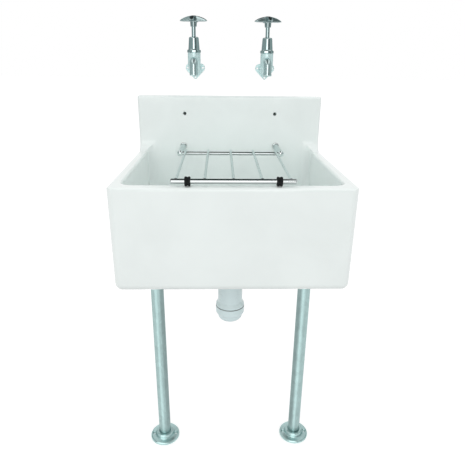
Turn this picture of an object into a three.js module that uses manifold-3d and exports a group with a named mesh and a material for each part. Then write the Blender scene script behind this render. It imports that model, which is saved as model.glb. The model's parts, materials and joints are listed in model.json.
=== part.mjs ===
// Wall-hung utility sink with a bucket grating, bottle trap, two legs and a pair of bib taps.
// Millimetres, +Z up. The wall is the plane Y = 0 and the front of the sink faces -Y.
// The origin is on the wall, midway between the two fixing holes in the upstand.

import * as THREE from 'three';
import { mergeVertices } from 'three/addons/utils/BufferGeometryUtils.js';
import Module from 'manifold-3d';

const wasm = await Module();
wasm.setup();

// ---------------------------------------------------------------- driving dimensions

const seat = 0.3; // gap left between two pieces that meet

// Basin
const sinkWidth = 455;
const sinkDepth = 400; // front face to wall
const tubHeight = 206; // underside to rim
const upstandHeight = 132.5; // rim to the top of the raised back
const upstandThickness = 22;
const sideWall = 20.5;
const frontWall = 26;
const baseThickness = 24; // underside to the edge of the bowl's floor
const floorFall = 5; // drop from there to the waste
const edgeRounding = 6; // rim and upstand edges
const frontCorner = 15.5; // upright front corners
const baseRounding = 15; // edges round the underside
const sweepRadius = 27; // rim sweeping up into the upstand
const bowlCorner = 24; // upright corners inside the bowl
const floorRounding = 20; // bowl floor meeting its walls
const fixingSpacing = 225;
const fixingDiameter = 8;
const fixingDrop = 42.5; // top of the upstand to the fixing holes

// Waste outlet
const wasteSetback = 195; // front face to the waste's axis
const wasteTailRadius = 23.5;
const wasteBoreRadius = 20;
const wasteFlangeRadius = 36;
const wasteFlangeThickness = 3;
const wasteTailLength = 44; // below the underside of the sink
const wasteSealThickness = 1.5;
const wasteSealInset = 1; // inside the flange's edge
const wasteHoleRadius = 25;
const strainerSlots = 6;
const strainerSlotWidth = 6;
const strainerSlotStart = 6.8; // waste's axis to the inner end of a slot
const strainerRim = 2.8; // left outside the slots
const wasteDish = 4; // width of the sloping edge inside the flange
const strainerThickness = 3;
const backNutRadius = 33;
const backNutHeight = 8;
const underSealThickness = 4;
const underSealInset = 2; // inside the nut's corners

// Bottle trap
const trapRadius = 29.5;
const trapWall = 3;
const trapNeckRadius = 21;
const trapNeckBore = 18.5;
const trapTop = 62; // underside of the sink down to the shoulder
const trapFlare = 126; // down to where the body begins to flare
const trapSeam = 139; // down to the seam between body and cup
const trapFlareRadius = 34.3;
const trapFlareLip = 5; // height of the flare's straight edge
const cupCollarRadius = 35;
const cupCollarHeight = 24;
const cupCollarTaper = 7;
const cupRadius = 29.8;
const trapDepth = 177; // underside of the sink down to the bottom of the cup
const dipTubeClearance = 14; // above the inside of the cup
const dipTubeSocket = 5; // how far the tube goes up into the shoulder
const inletNutRadius = 31;
const trapSealThickness = 2;
const trapLipThickness = 2.5;
const trapLipClearance = 0.5; // inside the nut
const dipTubeWall = 1.6;
const threadWall = 2; // of the body's end inside the cup
const threadLength = 12;
const cupSealThickness = 3;
const cupLedge = 3; // carries the seal
const outletRadius = 20;
const outletBore = 17;
const outletLength = 62; // from the trap's axis
const outletDrop = 82; // underside of the sink down to the outlet's axis
const outletNutRadius = 26;
const outletNutLength = 24;
const outletSealThickness = 4.4;
const outletMouth = 16;
const inletNutCover = 20; // how far the nut reaches up the tail
const nutLipThickness = 3.5;
const gripRadius = 2.4;
const inletNutGrips = 8;
const outletNutGrips = 6;

// Bucket grating
const hingeSetback = 275; // front face to the back rail
const hingeHeight = 10.5; // rim to the back rail's axis
const eyeSpacing = 235;
const eyeRadius = 7.4;
const backRailRadius = 4.1;
const frontRailRadius = 4.7;
const frontRailLength = 227;
const frontRailSetback = 17;
const bufferRadius = 8.6;
const bufferWaist = 7.5;
const bufferLength = 10.6;
const bufferInset = 30.5; // end of the front rail to the buffer's middle
const wireRadius = 2.4;
const wireCount = 5;
const wireSpacing = 52.1;
const wireOverhang = 3.5; // behind the back rail's axis
const wireWeldGap = 0.4; // front end of a wire to the front rail
const wireRise = 1.5; // wire above the front rail's axis where they join
const bracketArmRadius = 6.2;
const bracketEyeEndRadius = 5.6; // arm where it leaves the ball
const bracketFlangeRadius = 8;
const bracketFlangeThickness = 3;
const bracketStudRadius = 3.9;
const bracketHoleRadius = 4.5;
const studSetback = 2.5; // stud end to the wall
const bracketWasherThickness = 1.5;
const bracketWasherOverhang = 1; // past the flange's edge
const nutPocketRadius = 13;
const nutPocketDepth = 12;
const nutWasherThickness = 1.6;
const nutWasherRadius = 9;
const nutHeight = 6.5;
const nutRadius = 7.5;

// Legs
const rimAboveFloor = 692;
const legInset = 61.5; // side of the sink to the leg's axis
const legSetback = 130; // front face to the leg's axis
const legRadius = 14.3;
const legBore = 12.3;
const footRadius = 35.8;
const footThickness = 7;
const footCollarRadius = 21.5;
const footCollarHeight = 10; // above the flange
const footCollarFoot = 23.5; // collar where it meets the flange
const footEdgeDrop = 1; // flange's edge below its middle
const footWeb = 3; // under the end of the tube
const footHoleSpacing = 54;
const footHoleRadius = 3.2;
const footSinkRadius = 5.4;
const legPadThickness = 4;
const legPadRadius = 30;
const legHeadRadius = 32;
const legHeadThickness = 6;
const legBossRadius = 20;
const legBossLength = 44;
const grubScrewRadius = 3;
const grubScrewLength = 9;
const grubKeyRadius = 1.7;
const grubKeyDepth = 3;

// Bib taps, measured from the axis of the supply socket
const tapSpacing = 170;
const tapHeight = 194; // rim to the supply socket's axis
const tapReach = 45; // wall to the spindle's axis
const plateThickness = 3.5;
const plateHalfWidth = 23.2;
const plateTop = 12.9; // above the socket's axis
const plateTip = 23.5; // below it
const plateShoulder = 10; // radius of the two upper corners
const plateTipRadius = 3.2;
const plateHoles = [[-18.3, 3], [18.3, 3], [0, -19]]; // screw holes, from the socket's axis
const plateHoleRadius = 2.2;
const supplyOpening = 7.5;
const socketRadius = 14.5;
const socketLength = 20; // from the wall
const tailRadius = 10.5;
const tailLength = 14; // inside the socket
const supplyBore = 6;
const barrelRadius = 14.8;
const shoulderRadius = 12.5; // body behind the barrel
const barrelTop = 35.5;
const barrelBottom = -13;
const barrelFoot = 9; // radius at the bottom
const barrelTaper = 6; // height at which the barrel begins to narrow
const chamberRadius = 10.5;
const seatTop = 10;
const seatBore = 5.5;
const spoutRadius = 9.6;
const spoutBore = 7;
const spoutAxis = 17.5; // height where the spout leaves the barrel
const spoutReach = 27; // spindle axis to the mouth's axis
const spoutBend = 15;
const spoutMouth = -14;
const hexRadius = 15.6;
const hexHeight = 7;
const headgearSpigot = 12.5; // into the barrel
const headgearNeckRadius = 8.8;
const headgearNeckTop = 61;
const spindleRadius = 4.65;
const spindleThreadRadius = 7;
const spindleThreadLength = 11;
const spindleLift = 5; // travel from shut to open
const glandNutRadius = 8;
const glandNutHeight = 4.5;
const coverTopRadius = 11;
const coverBottomRadius = 13;
const coverHeight = 26.6;
const coverWall = 1.2;
const jumperRadius = 7.5;
const jumperThickness = 2.6;
const jumperStemRadius = 2.8;
const jumperStemLength = 11;
const washerThickness = 3.6;
const hubHeight = 10.8; // below the arms
const hubTopRadius = 8.2;
const hubBottomRadius = 6.9;
const handleUnderside = 102;
const handleArm = 31.5;
const handleCrown = 12; // underside of the arms to the top
const handleTip = 3.4;
const handleShoulder = 0.42; // share of the arm at which the dome turns down
const handleShoulderHeight = 0.8; // share of the crown there
const handleWeb = 3; // between the spindle's end and the cap
const handleArmHalfWidth = 5.6;
const handleRoot = 6.4; // spindle's axis to the root of the arms, both ways across
const handleTurn = THREE.MathUtils.degToRad(8); // as the pair stands when shut
const capRadius = 5.5;
const capDome = 1.6;
const capStemRadius = 2.2;
const capStemLength = 9;

// ---------------------------------------------------------------- places worked out from them

const rimZ = fixingDrop - upstandHeight;
const topZ = fixingDrop;
const underZ = rimZ - tubHeight;
const frontY = -sinkDepth;
const bowlBackY = -upstandThickness;
const floorZ = underZ + baseThickness;
const wasteY = frontY + wasteSetback;
const hingeY = frontY + hingeSetback;
const hingeZ = rimZ + hingeHeight;
const wasteRecessRadius = wasteFlangeRadius + 2;
const wasteRecessDepth = wasteFlangeThickness + wasteSealThickness + 2 * seat;
const wasteRecessZ = floorZ - floorFall - wasteRecessDepth;
const frontRailY = frontY + frontRailSetback;
const frontRailZ = rimZ + bufferRadius + seat;
const bufferSpacing = frontRailLength - 2 * bufferInset;
const legSpacing = sinkWidth - 2 * legInset;

// ---------------------------------------------------------------- materials

function finish(name, color, roughness, metalness) {
  return new THREE.MeshStandardMaterial({ name, color, roughness, metalness });
}

const fireclay = finish('fireclay', 0xe6eeec, 0.12, 0);
const polished = finish('polished_steel', 0xcfd8d8, 0.12, 1);
const chrome = finish('chrome', 0xc6d2d2, 0.08, 1);
const galvanised = finish('galvanised_steel', 0x9cb0b1, 0.42, 1);
const brass = finish('brass', 0xb79a55, 0.35, 1);
const rubber = finish('black_rubber', 0x14181a, 0.75, 0);
const fibre = finish('white_washer', 0xdfe2df, 0.6, 0);
const trapPlastic = finish('trap_plastic', 0xd5dedf, 0.38, 0);

// ---------------------------------------------------------------- shape helpers

// A closed outline from [x, y, radius] corners, each corner rounded by a true arc.
function roundedOutline(corners, steps = 3) {
  const points = [];
  corners.forEach(([x, y, radius], i) => {
    const corner = new THREE.Vector2(x, y);
    if (!radius) {
      points.push(corner);
      return;
    }
    const before = corners.at(i - 1);
    const after = corners[(i + 1) % corners.length];
    const back = new THREE.Vector2(before[0] - x, before[1] - y).normalize();
    const ahead = new THREE.Vector2(after[0] - x, after[1] - y).normalize();
    const half = back.angleTo(ahead) / 2;
    const inward = back.clone().add(ahead).setLength(radius / Math.sin(half));
    const centre = corner.clone().add(inward);
    const start = corner.clone().addScaledVector(back, radius / Math.tan(half)).sub(centre);
    const end = corner.clone().addScaledVector(ahead, radius / Math.tan(half)).sub(centre);
    const sweep = Math.atan2(start.cross(end), start.dot(end));
    for (let k = 0; k <= steps; k++) {
      const spoke = start.clone().rotateAround(new THREE.Vector2(), (sweep * k) / steps);
      points.push(spoke.add(centre));
    }
  });
  return points;
}

// A manifold solid from any closed geometry: vertices merged, slivers dropped, faces outward.
function solid(geometry) {
  const bare = geometry.clone();
  bare.deleteAttribute('normal');
  bare.deleteAttribute('uv');
  const merged = mergeVertices(bare, 1e-4);
  const points = merged.attributes.position.array;
  const faces = merged.index.array;
  const triVerts = [];
  const a = new THREE.Vector3();
  const b = new THREE.Vector3();
  const c = new THREE.Vector3();
  let volume = 0;
  for (let i = 0; i < faces.length; i += 3) {
    const [p, q, r] = faces.slice(i, i + 3);
    if (p === q || q === r || r === p) continue;
    triVerts.push(p, q, r);
    a.fromArray(points, 3 * p);
    b.fromArray(points, 3 * q);
    c.fromArray(points, 3 * r);
    volume += a.dot(b.cross(c));
  }
  if (volume < 0) triVerts.reverse();
  const vertProperties = Float32Array.from(points);
  return new wasm.Manifold(
    new wasm.Mesh({ numProp: 3, vertProperties, triVerts: Uint32Array.from(triVerts) }),
  );
}

// The geometry of a manifold solid.
function skin(shape) {
  const mesh = shape.getMesh();
  const geometry = new THREE.BufferGeometry();
  geometry.setAttribute('position', new THREE.BufferAttribute(mesh.vertProperties, 3));
  geometry.setIndex(new THREE.BufferAttribute(mesh.triVerts, 1));
  return geometry;
}

// How many flat sides stand for a round of the given radius.
function facets(radius) {
  if (radius < 4) return 8;
  return radius < 18 ? 16 : 20;
}

// A turned solid about Z from [radius, z, rounding] corners. Off the axis it is a closed ring.
function turned(corners, steps = 2) {
  const outline = roundedOutline(corners, steps);
  if (corners[0][0] > 0) outline.push(outline[0].clone());
  const segments = facets(Math.max(...corners.map((corner) => corner[0])));
  return solid(new THREE.LatheGeometry(outline, segments).rotateX(Math.PI / 2));
}

// A ring of rectangular section about Z.
function ring(outer, inner, low, high) {
  return turned([[inner, low], [outer, low], [outer, high], [inner, high]]);
}

// A prism along Z from low to high, whose corners lie on the given radius.
function prism(sides, radius, low, high) {
  const geometry = new THREE.CylinderGeometry(radius, radius, high - low, sides);
  return solid(geometry.rotateX(Math.PI / 2).translate(0, 0, (low + high) / 2));
}

// A round bar along Z from low to high.
function bar(radius, low, high) {
  return prism(facets(radius), radius, low, high);
}

// A plate whose outline lies in X and Y, from z = low to z = high.
function plate(outline, low, high, edge = 0) {
  const geometry = new THREE.ExtrudeGeometry(new THREE.Shape(outline), {
    depth: high - low - 2 * edge,
    bevelEnabled: edge > 0,
    bevelSize: edge,
    bevelThickness: edge,
    bevelOffset: -edge,
    bevelSegments: 2,
  });
  return solid(geometry.translate(0, 0, low + edge));
}

// A closed skin through rings that all have the same number of points, lowest ring first.
function lofted(rings) {
  const count = rings[0].length;
  const points = rings.flat();
  const faces = [];
  for (let k = 0; k + 1 < rings.length; k++) {
    for (let i = 0; i < count; i++) {
      const low = k * count + i;
      const lowNext = k * count + ((i + 1) % count);
      faces.push(low, lowNext, lowNext + count, low, lowNext + count, low + count);
    }
  }
  for (const [k, turn] of [[0, -1], [rings.length - 1, 1]]) {
    const centre = new THREE.Vector3();
    rings[k].forEach((point) => centre.addScaledVector(point, 1 / count));
    points.push(centre);
    for (let i = 0; i < count; i++) {
      const edge = [k * count + i, k * count + ((i + 1) % count)];
      faces.push(points.length - 1, ...(turn > 0 ? edge : edge.reverse()));
    }
  }
  const geometry = new THREE.BufferGeometry().setFromPoints(points);
  geometry.setIndex(faces);
  return solid(geometry);
}

// A rounded rectangle in plan at height z, corner by corner from the right-hand back one.
function planRing(halfWidth, front, back, radius, z, steps = 4) {
  const points = [];
  for (let quarter = 0; quarter < 4; quarter++) {
    const right = quarter === 0 || quarter === 3;
    const x = (right ? 1 : -1) * (halfWidth - radius);
    const y = quarter < 2 ? back - radius : front + radius;
    for (let k = 0; k <= steps; k++) {
      const angle = ((quarter + k / steps) * Math.PI) / 2;
      const across = x + radius * Math.cos(angle);
      points.push(new THREE.Vector3(across, y + radius * Math.sin(angle), z));
    }
  }
  return points;
}

// A circle in plan with as many points as planRing gives.
function roundRing(radius, y, z, steps = 4) {
  const count = 4 * (steps + 1);
  return Array.from({ length: count }, (_, i) => {
    const angle = ((i + 0.5) / count) * 2 * Math.PI;
    return new THREE.Vector3(radius * Math.cos(angle), y + radius * Math.sin(angle), z);
  });
}

const alongX = [0, 90, 0];
const alongY = [-90, 0, 0]; // turns +Z to +Y

const sink = new THREE.Group();
sink.name = 'utility_sink';

// Adds one named piece to a group.
function piece(group, name, shape, material) {
  const mesh = new THREE.Mesh(skin(shape), material);
  mesh.name = name;
  group.add(mesh);
  return mesh;
}

// A group placed inside another one.
function placed(parent, x, y, z) {
  const group = new THREE.Group();
  group.position.set(x, y, z);
  parent.add(group);
  return group;
}

// ---------------------------------------------------------------- basin

// The side view of tub and upstand, as [y, z, radius], swept across the full width.
function basinOutside() {
  const side = roundedOutline([
    [frontY, underZ, 0],
    [0, underZ, 0],
    [0, topZ, edgeRounding],
    [bowlBackY, topZ, edgeRounding],
    [bowlBackY, rimZ, sweepRadius],
    [frontY, rimZ, edgeRounding],
  ], 4);
  const across = plate(side, -sinkWidth / 2, sinkWidth / 2, edgeRounding - 1);
  const upright = new THREE.Matrix4().makeBasis(
    new THREE.Vector3(0, 1, 0),
    new THREE.Vector3(0, 0, 1),
    new THREE.Vector3(1, 0, 0),
  );
  const swept = across.transform(upright.elements);
  const behind = 2 * frontCorner;
  const rings = [];
  const steps = 4;
  for (let k = 0; k <= steps; k++) {
    const angle = ((k / steps) * Math.PI) / 2;
    const inset = baseRounding * (1 - Math.sin(angle));
    const z = underZ + baseRounding * (1 - Math.cos(angle));
    const radius = Math.max(frontCorner - inset, 0.5);
    rings.push(planRing(sinkWidth / 2 - inset, frontY + inset, behind, radius, z));
  }
  rings.push(planRing(sinkWidth / 2, frontY, behind, frontCorner, topZ + edgeRounding));
  return swept.intersect(lofted(rings));
}

// The hollow of the bowl, from the dished floor up past the rounded inner edge of the rim.
function bowlHollow() {
  const halfWidth = sinkWidth / 2 - sideWall;
  const front = frontY + frontWall;
  const lip = edgeRounding - 1;
  const steps = 4;
  const rings = [roundRing(wasteRecessRadius + 3, wasteY, floorZ - floorFall)];
  for (let k = 0; k <= steps; k++) {
    const angle = ((k / steps) * Math.PI) / 2;
    const inset = floorRounding * (1 - Math.sin(angle));
    const z = floorZ + floorRounding * (1 - Math.cos(angle));
    const radius = Math.max(bowlCorner - inset, 1);
    rings.push(planRing(halfWidth - inset, front + inset, bowlBackY - inset, radius, z));
  }
  for (let k = 0; k <= steps; k++) {
    const angle = ((k / steps) * Math.PI) / 2;
    const flare = lip * (1 - Math.cos(angle));
    const z = rimZ - lip * (1 - Math.sin(angle));
    rings.push(planRing(halfWidth + flare, front - flare, bowlBackY, bowlCorner + flare, z));
  }
  const above = rimZ + sweepRadius + edgeRounding;
  rings.push(planRing(halfWidth + lip, front - lip, bowlBackY, bowlCorner + lip, above));
  return lofted(rings);
}

function basin() {
  let shape = basinOutside().subtract(bowlHollow());
  const recess = bar(wasteRecessRadius, wasteRecessZ, floorZ);
  const hole = bar(wasteHoleRadius, underZ - 1, floorZ);
  shape = shape.subtract(recess.add(hole).translate(0, wasteY, 0));
  for (const side of [-1, 1]) {
    const fixing = bar(fixingDiameter / 2, -upstandThickness - 1, 1).rotate(alongY);
    shape = shape.subtract(fixing.translate((side * fixingSpacing) / 2, 0, 0));
    const studHole = bar(bracketHoleRadius, -upstandThickness - 1, 1);
    const pocket = bar(nutPocketRadius, -nutPocketDepth, 1);
    const bracketHole = studHole.add(pocket).rotate(alongY);
    shape = shape.subtract(bracketHole.translate((side * eyeSpacing) / 2, 0, hingeZ));
  }
  return shape;
}

piece(sink, 'basin', basin(), fireclay);

// ---------------------------------------------------------------- waste outlet

function wasteFlange() {
  const top = wasteRecessZ + wasteRecessDepth;
  const under = top - wasteFlangeThickness;
  const bottom = underZ - wasteTailLength;
  const throat = under - strainerThickness;
  let shape = turned([
    [0, throat], [wasteBoreRadius, throat], [wasteBoreRadius, bottom],
    [wasteTailRadius, bottom], [wasteTailRadius, under],
    [wasteFlangeRadius, under], [wasteFlangeRadius, top, 1.5],
    [wasteBoreRadius + wasteDish, top], [wasteBoreRadius, under], [0, under],
  ]);
  const inner = strainerSlotStart;
  const outer = wasteBoreRadius - strainerRim;
  const half = strainerSlotWidth / 2;
  const slot = plate(roundedOutline([
    [inner, -half, 0.9 * half], [outer, -half, 0.9 * half],
    [outer, half, 0.9 * half], [inner, half, 0.9 * half],
  ], 2), throat - 1, under + 1);
  for (let i = 0; i < strainerSlots; i++) {
    shape = shape.subtract(slot.rotate([0, 0, (i * 360) / strainerSlots]));
  }
  return shape;
}

const waste = placed(sink, 0, wasteY, 0);
const wasteSealZ = wasteRecessZ + seat;
piece(waste, 'waste_flange', wasteFlange(), polished);
piece(waste, 'waste_top_seal',
  ring(wasteFlangeRadius - wasteSealInset, wasteTailRadius + seat,
    wasteSealZ, wasteSealZ + wasteSealThickness),
  rubber);

const underSealZ = underZ - underSealThickness;
const backNutZ = underSealZ - seat - backNutHeight;
piece(waste, 'waste_bottom_seal',
  ring(backNutRadius - underSealInset, wasteTailRadius + seat, underSealZ, underZ - seat), rubber);

function backNut() {
  const blank = prism(8, backNutRadius, backNutZ, backNutZ + backNutHeight);
  return blank.subtract(bar(wasteTailRadius + seat, backNutZ - 1, underZ));
}
piece(waste, 'waste_back_nut', backNut(), trapPlastic);

// ---------------------------------------------------------------- bottle trap

const tailEndZ = underZ - wasteTailLength;
const trapSealZ = tailEndZ - seat - trapSealThickness;
const trapLipTop = trapSealZ - seat;
const trapLipRadius = wasteTailRadius + seat - trapLipClearance;
const shoulderZ = underZ - trapTop;
const flareZ = underZ - trapFlare;
const seamZ = underZ - trapSeam;
const cupBottomZ = underZ - trapDepth;
const outletZ = underZ - outletDrop;
const cupBore = cupRadius - trapWall;
const threadRadius = cupBore - 2 * seat;
const skirtZ = seamZ - threadLength;
const cupLedgeZ = skirtZ - cupSealThickness - 2 * seat;

const dipTubeRadius = trapNeckBore + dipTubeWall;
const dipTubeTop = shoulderZ - 2 * trapWall + dipTubeSocket;

function trapBody() {
  const ceiling = shoulderZ - 2 * trapWall;
  const inside = threadRadius - threadWall;
  const shell = turned([
    [trapNeckBore, trapLipTop], [trapNeckBore, dipTubeTop],
    [dipTubeRadius + seat, dipTubeTop], [dipTubeRadius + seat, ceiling],
    [inside, ceiling], [inside, skirtZ],
    [threadRadius, skirtZ], [threadRadius, seamZ + seat],
    [trapFlareRadius, seamZ + seat], [trapFlareRadius, seamZ + trapFlareLip, 3],
    [trapRadius, flareZ, 5], [trapRadius, shoulderZ, 5],
    [trapNeckRadius, shoulderZ], [trapNeckRadius, trapLipTop - trapLipThickness],
    [trapLipRadius, trapLipTop - trapLipThickness], [trapLipRadius, trapLipTop],
  ]);
  const branch = bar(outletRadius, trapNeckRadius + seat, outletLength).rotate(alongY);
  const bore = bar(outletBore, dipTubeRadius + seat, outletLength + 1).rotate(alongY);
  const joined = shell.add(branch.translate(0, 0, outletZ));
  return joined.subtract(bore.translate(0, 0, outletZ));
}

// The tube that carries the water down into the cup, pushed up into the shoulder.
function trapInnerTube() {
  const low = cupBottomZ + trapWall + dipTubeClearance;
  return ring(dipTubeRadius, trapNeckBore, low, dipTubeTop - seat);
}

function trapCup() {
  const inside = cupBottomZ + trapWall;
  return turned([
    [0, cupBottomZ], [cupRadius, cupBottomZ, 13],
    [cupRadius, seamZ - cupCollarHeight, 3],
    [cupCollarRadius, seamZ - cupCollarHeight + cupCollarTaper, 5],
    [cupCollarRadius, seamZ, 1.2], [cupBore, seamZ], [cupBore, cupLedgeZ],
    [cupBore - cupLedge, cupLedgeZ], [cupBore - cupLedge, inside, 9], [0, inside],
  ]);
}

// A turned nut with finger grooves down its outside.
function gripNut(corners, radius, low, high, grips) {
  const groove = prism(6, gripRadius, low - 1, high + 1).translate(radius + 0.4 * gripRadius, 0, 0);
  let nut = turned(corners);
  for (let i = 0; i < grips; i++) nut = nut.subtract(groove.rotate([0, 0, (i * 360) / grips]));
  return nut;
}

function trapInletNut() {
  const top = tailEndZ + inletNutCover;
  const lip = trapLipTop - trapLipThickness - seat;
  const bottom = lip - nutLipThickness;
  return gripNut([
    [trapNeckRadius + seat, bottom], [inletNutRadius, bottom, 1.5],
    [inletNutRadius, top, 1.5], [wasteTailRadius + seat, top],
    [wasteTailRadius + seat, lip], [trapNeckRadius + seat, lip],
  ], inletNutRadius, bottom, top, inletNutGrips);
}

const outletSealStart = outletLength + seat;
const outletLip = outletSealStart + outletSealThickness + seat;

function trapOutletNut() {
  const end = outletLip + nutLipThickness;
  const start = end - outletNutLength;
  const nut = gripNut([
    [outletRadius + seat, start], [outletNutRadius, start, 1.5],
    [outletNutRadius, end, 1.5], [outletMouth, end],
    [outletMouth, outletLip], [outletRadius + seat, outletLip],
  ], outletNutRadius, start, end, outletNutGrips);
  return nut.rotate(alongY).translate(0, 0, outletZ);
}

function trapOutletSeal() {
  const seal = ring(outletRadius, outletMouth, outletSealStart, outletLip - seat);
  return seal.rotate(alongY).translate(0, 0, outletZ);
}

piece(waste, 'trap_inlet_nut', trapInletNut(), trapPlastic);
piece(waste, 'trap_inlet_seal',
  ring(trapLipRadius, trapNeckBore, trapSealZ, tailEndZ - seat), rubber);
piece(waste, 'trap_body', trapBody(), trapPlastic);
piece(waste, 'trap_inner_tube', trapInnerTube(), trapPlastic);
piece(waste, 'trap_cup', trapCup(), trapPlastic);
piece(waste, 'trap_cup_seal',
  ring(threadRadius, threadRadius - threadWall, cupLedgeZ + seat, skirtZ - seat), rubber);
piece(waste, 'trap_outlet_nut', trapOutletNut(), trapPlastic);
piece(waste, 'trap_outlet_seal', trapOutletSeal(), rubber);

// ---------------------------------------------------------------- bucket grating

const grating = placed(sink, 0, 0, 0);

// A bar along X with its ends eased by a small radius.
function crossBar(radius, length, ease) {
  const profile = [[0, -length / 2], [radius, -length / 2, ease], [radius, length / 2, ease]];
  return turned([...profile, [0, length / 2]], 1).rotate(alongX);
}

const backRailLength = eyeSpacing + eyeRadius;
piece(grating, 'grating_front_rail',
  crossBar(frontRailRadius, frontRailLength, 0.8).translate(0, frontRailY, frontRailZ), polished);
piece(grating, 'grating_back_rail',
  crossBar(backRailRadius, backRailLength, 0.6).translate(0, hingeY, hingeZ), polished);

// A wire laid over the back rail and butted against the back of the front rail.
function gratingWire(x) {
  const backZ = hingeZ + backRailRadius + wireRadius + seat;
  const startY = frontRailY + frontRailRadius + wireWeldGap;
  const frontEnd = new THREE.Vector3(x, startY, frontRailZ + wireRise);
  const over = new THREE.Vector3(x, hingeY, backZ);
  const run = over.clone().sub(frontEnd);
  const tilt = THREE.MathUtils.radToDeg(Math.atan2(run.z, run.y));
  const wire = bar(wireRadius, 0, run.length() + wireOverhang);
  return wire.rotate([tilt - 90, 0, 0]).translate(frontEnd.toArray());
}

for (let i = 0; i < wireCount; i++) {
  const x = (i - (wireCount - 1) / 2) * wireSpacing;
  piece(grating, `grating_wire_${i + 1}`, gratingWire(x), polished);
}

function buffer() {
  const half = bufferLength / 2;
  const bore = frontRailRadius + seat;
  return turned([
    [bore, -half], [bufferRadius, -half, 1], [bufferRadius, -0.3 * half],
    [bufferWaist, 0], [bufferRadius, 0.3 * half], [bufferRadius, half, 1], [bore, half],
  ]).rotate(alongX);
}

// The bracket: ball eye, tapered arm, flange on the upstand and stud through it, along Y.
function hingeBracket(side) {
  const arm = -hingeY;
  const flangeStart = arm - upstandThickness - bracketWasherThickness - 2 * seat;
  const studEnd = arm - studSetback;
  const flangeFront = flangeStart - bracketFlangeThickness;
  const ball = solid(new THREE.SphereGeometry(eyeRadius, 16, 10));
  const rod = turned([
    [0, 0], [bracketEyeEndRadius, 0], [bracketArmRadius, 0.5 * flangeFront],
    [bracketArmRadius, flangeFront], [bracketFlangeRadius, flangeFront, 1],
    [bracketFlangeRadius, flangeStart], [bracketStudRadius, flangeStart],
    [bracketStudRadius, studEnd], [0, studEnd],
  ], 1).rotate(alongY);
  const depth = backRailLength / 2 - eyeSpacing / 2 + seat;
  const socket = bar(backRailRadius + seat, -eyeRadius - 1, depth).rotate([0, side * 90, 0]);
  return ball.add(rod).subtract(socket);
}

for (const [side, word] of [[-1, 'left'], [1, 'right']]) {
  piece(grating, `grating_buffer_${word}`,
    buffer().translate((side * bufferSpacing) / 2, frontRailY, frontRailZ), rubber);
  const eye = placed(sink, (side * eyeSpacing) / 2, hingeY, hingeZ);
  piece(eye, `hinge_bracket_${word}`, hingeBracket(side), polished);
  const wall = placed(sink, (side * eyeSpacing) / 2, 0, hingeZ);
  const face = -upstandThickness - seat;
  piece(wall, `bracket_washer_${word}`,
    ring(bracketFlangeRadius + bracketWasherOverhang, bracketHoleRadius,
      face - bracketWasherThickness, face).rotate(alongY), fibre);
  const low = -nutPocketDepth + seat;
  const nutLow = low + nutWasherThickness + seat;
  piece(wall, `bracket_steel_washer_${word}`,
    ring(nutWasherRadius, bracketHoleRadius, low, low + nutWasherThickness).rotate(alongY),
    galvanised);
  const nut = prism(6, nutRadius, nutLow, nutLow + nutHeight);
  const nutBore = bar(bracketStudRadius + seat, nutLow - 1, nutLow + nutHeight + 1);
  piece(wall, `bracket_nut_${word}`, nut.subtract(nutBore).rotate(alongY), galvanised);
}

// ---------------------------------------------------------------- legs

const floorLevel = rimZ - rimAboveFloor;
const padZ = underZ - seat - legPadThickness;
const headTop = padZ - seat;
const headUnder = headTop - legHeadThickness;
const bossBottom = headUnder - legBossLength;
const tubeTop = headUnder - 2 * seat;
const tubeBottom = floorLevel + footWeb + seat;
const grubZ = bossBottom + legBossLength / 3;

function legFoot() {
  const top = floorLevel + footThickness;
  let shape = turned([
    [0, floorLevel], [footRadius, floorLevel], [footRadius, top - footEdgeDrop, 3],
    [footCollarFoot, top, 2], [footCollarRadius, top + footCollarHeight, 2.5],
    [legRadius + seat, top + footCollarHeight],
    [legRadius + seat, floorLevel + footWeb], [0, floorLevel + footWeb],
  ]);
  const countersink = footSinkRadius - footHoleRadius;
  const screwHole = turned([
    [0, floorLevel - 1], [footHoleRadius, floorLevel - 1],
    [footHoleRadius, top - countersink], [footSinkRadius + 1, top + 1], [0, top + 1],
  ]);
  for (const side of [-1, 1]) {
    shape = shape.subtract(screwHole.translate((side * footHoleSpacing) / 2, 0, 0));
  }
  return shape;
}

function legHead() {
  const shape = turned([
    [0, headUnder], [legRadius + seat, headUnder],
    [legRadius + seat, bossBottom], [legBossRadius, bossBottom, 2],
    [legBossRadius, headUnder, 4], [legHeadRadius, headUnder, 1.5],
    [legHeadRadius, headTop, 1.5], [0, headTop],
  ], 1);
  const hole = bar(grubScrewRadius + seat, 0, legBossRadius + 1).rotate(alongY);
  return shape.subtract(hole.translate(0, 0, grubZ));
}

function grubScrew() {
  const start = legRadius + seat;
  const end = start + grubScrewLength;
  const key = prism(6, grubKeyRadius, end - grubKeyDepth, end + 1);
  const screw = bar(grubScrewRadius, start, end).subtract(key);
  return screw.rotate(alongY).translate(0, 0, grubZ);
}

for (const [side, word] of [[-1, 'left'], [1, 'right']]) {
  const leg = placed(sink, (side * legSpacing) / 2, frontY + legSetback, 0);
  piece(leg, `leg_pad_${word}`, bar(legPadRadius, padZ, padZ + legPadThickness), rubber);
  piece(leg, `leg_head_${word}`, legHead(), galvanised);
  piece(leg, `leg_grub_screw_${word}`, grubScrew(), galvanised);
  piece(leg, `leg_tube_${word}`, ring(legRadius, legBore, tubeBottom, tubeTop), galvanised);
  piece(leg, `leg_foot_${word}`, legFoot(), galvanised);
}

// ---------------------------------------------------------------- bib taps

const hexLow = barrelTop + seat;
const coverLow = hexLow + hexHeight + seat;
const coverTop = coverLow + coverHeight;
const glandLow = headgearNeckTop + seat;
const washerLow = seatTop + seat;
const jumperLow = washerLow + washerThickness + seat;
const spindleLow = jumperLow + jumperThickness + seat;
const spindleTop = handleUnderside + handleCrown - capDome - 2 * seat - handleWeb;

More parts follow.
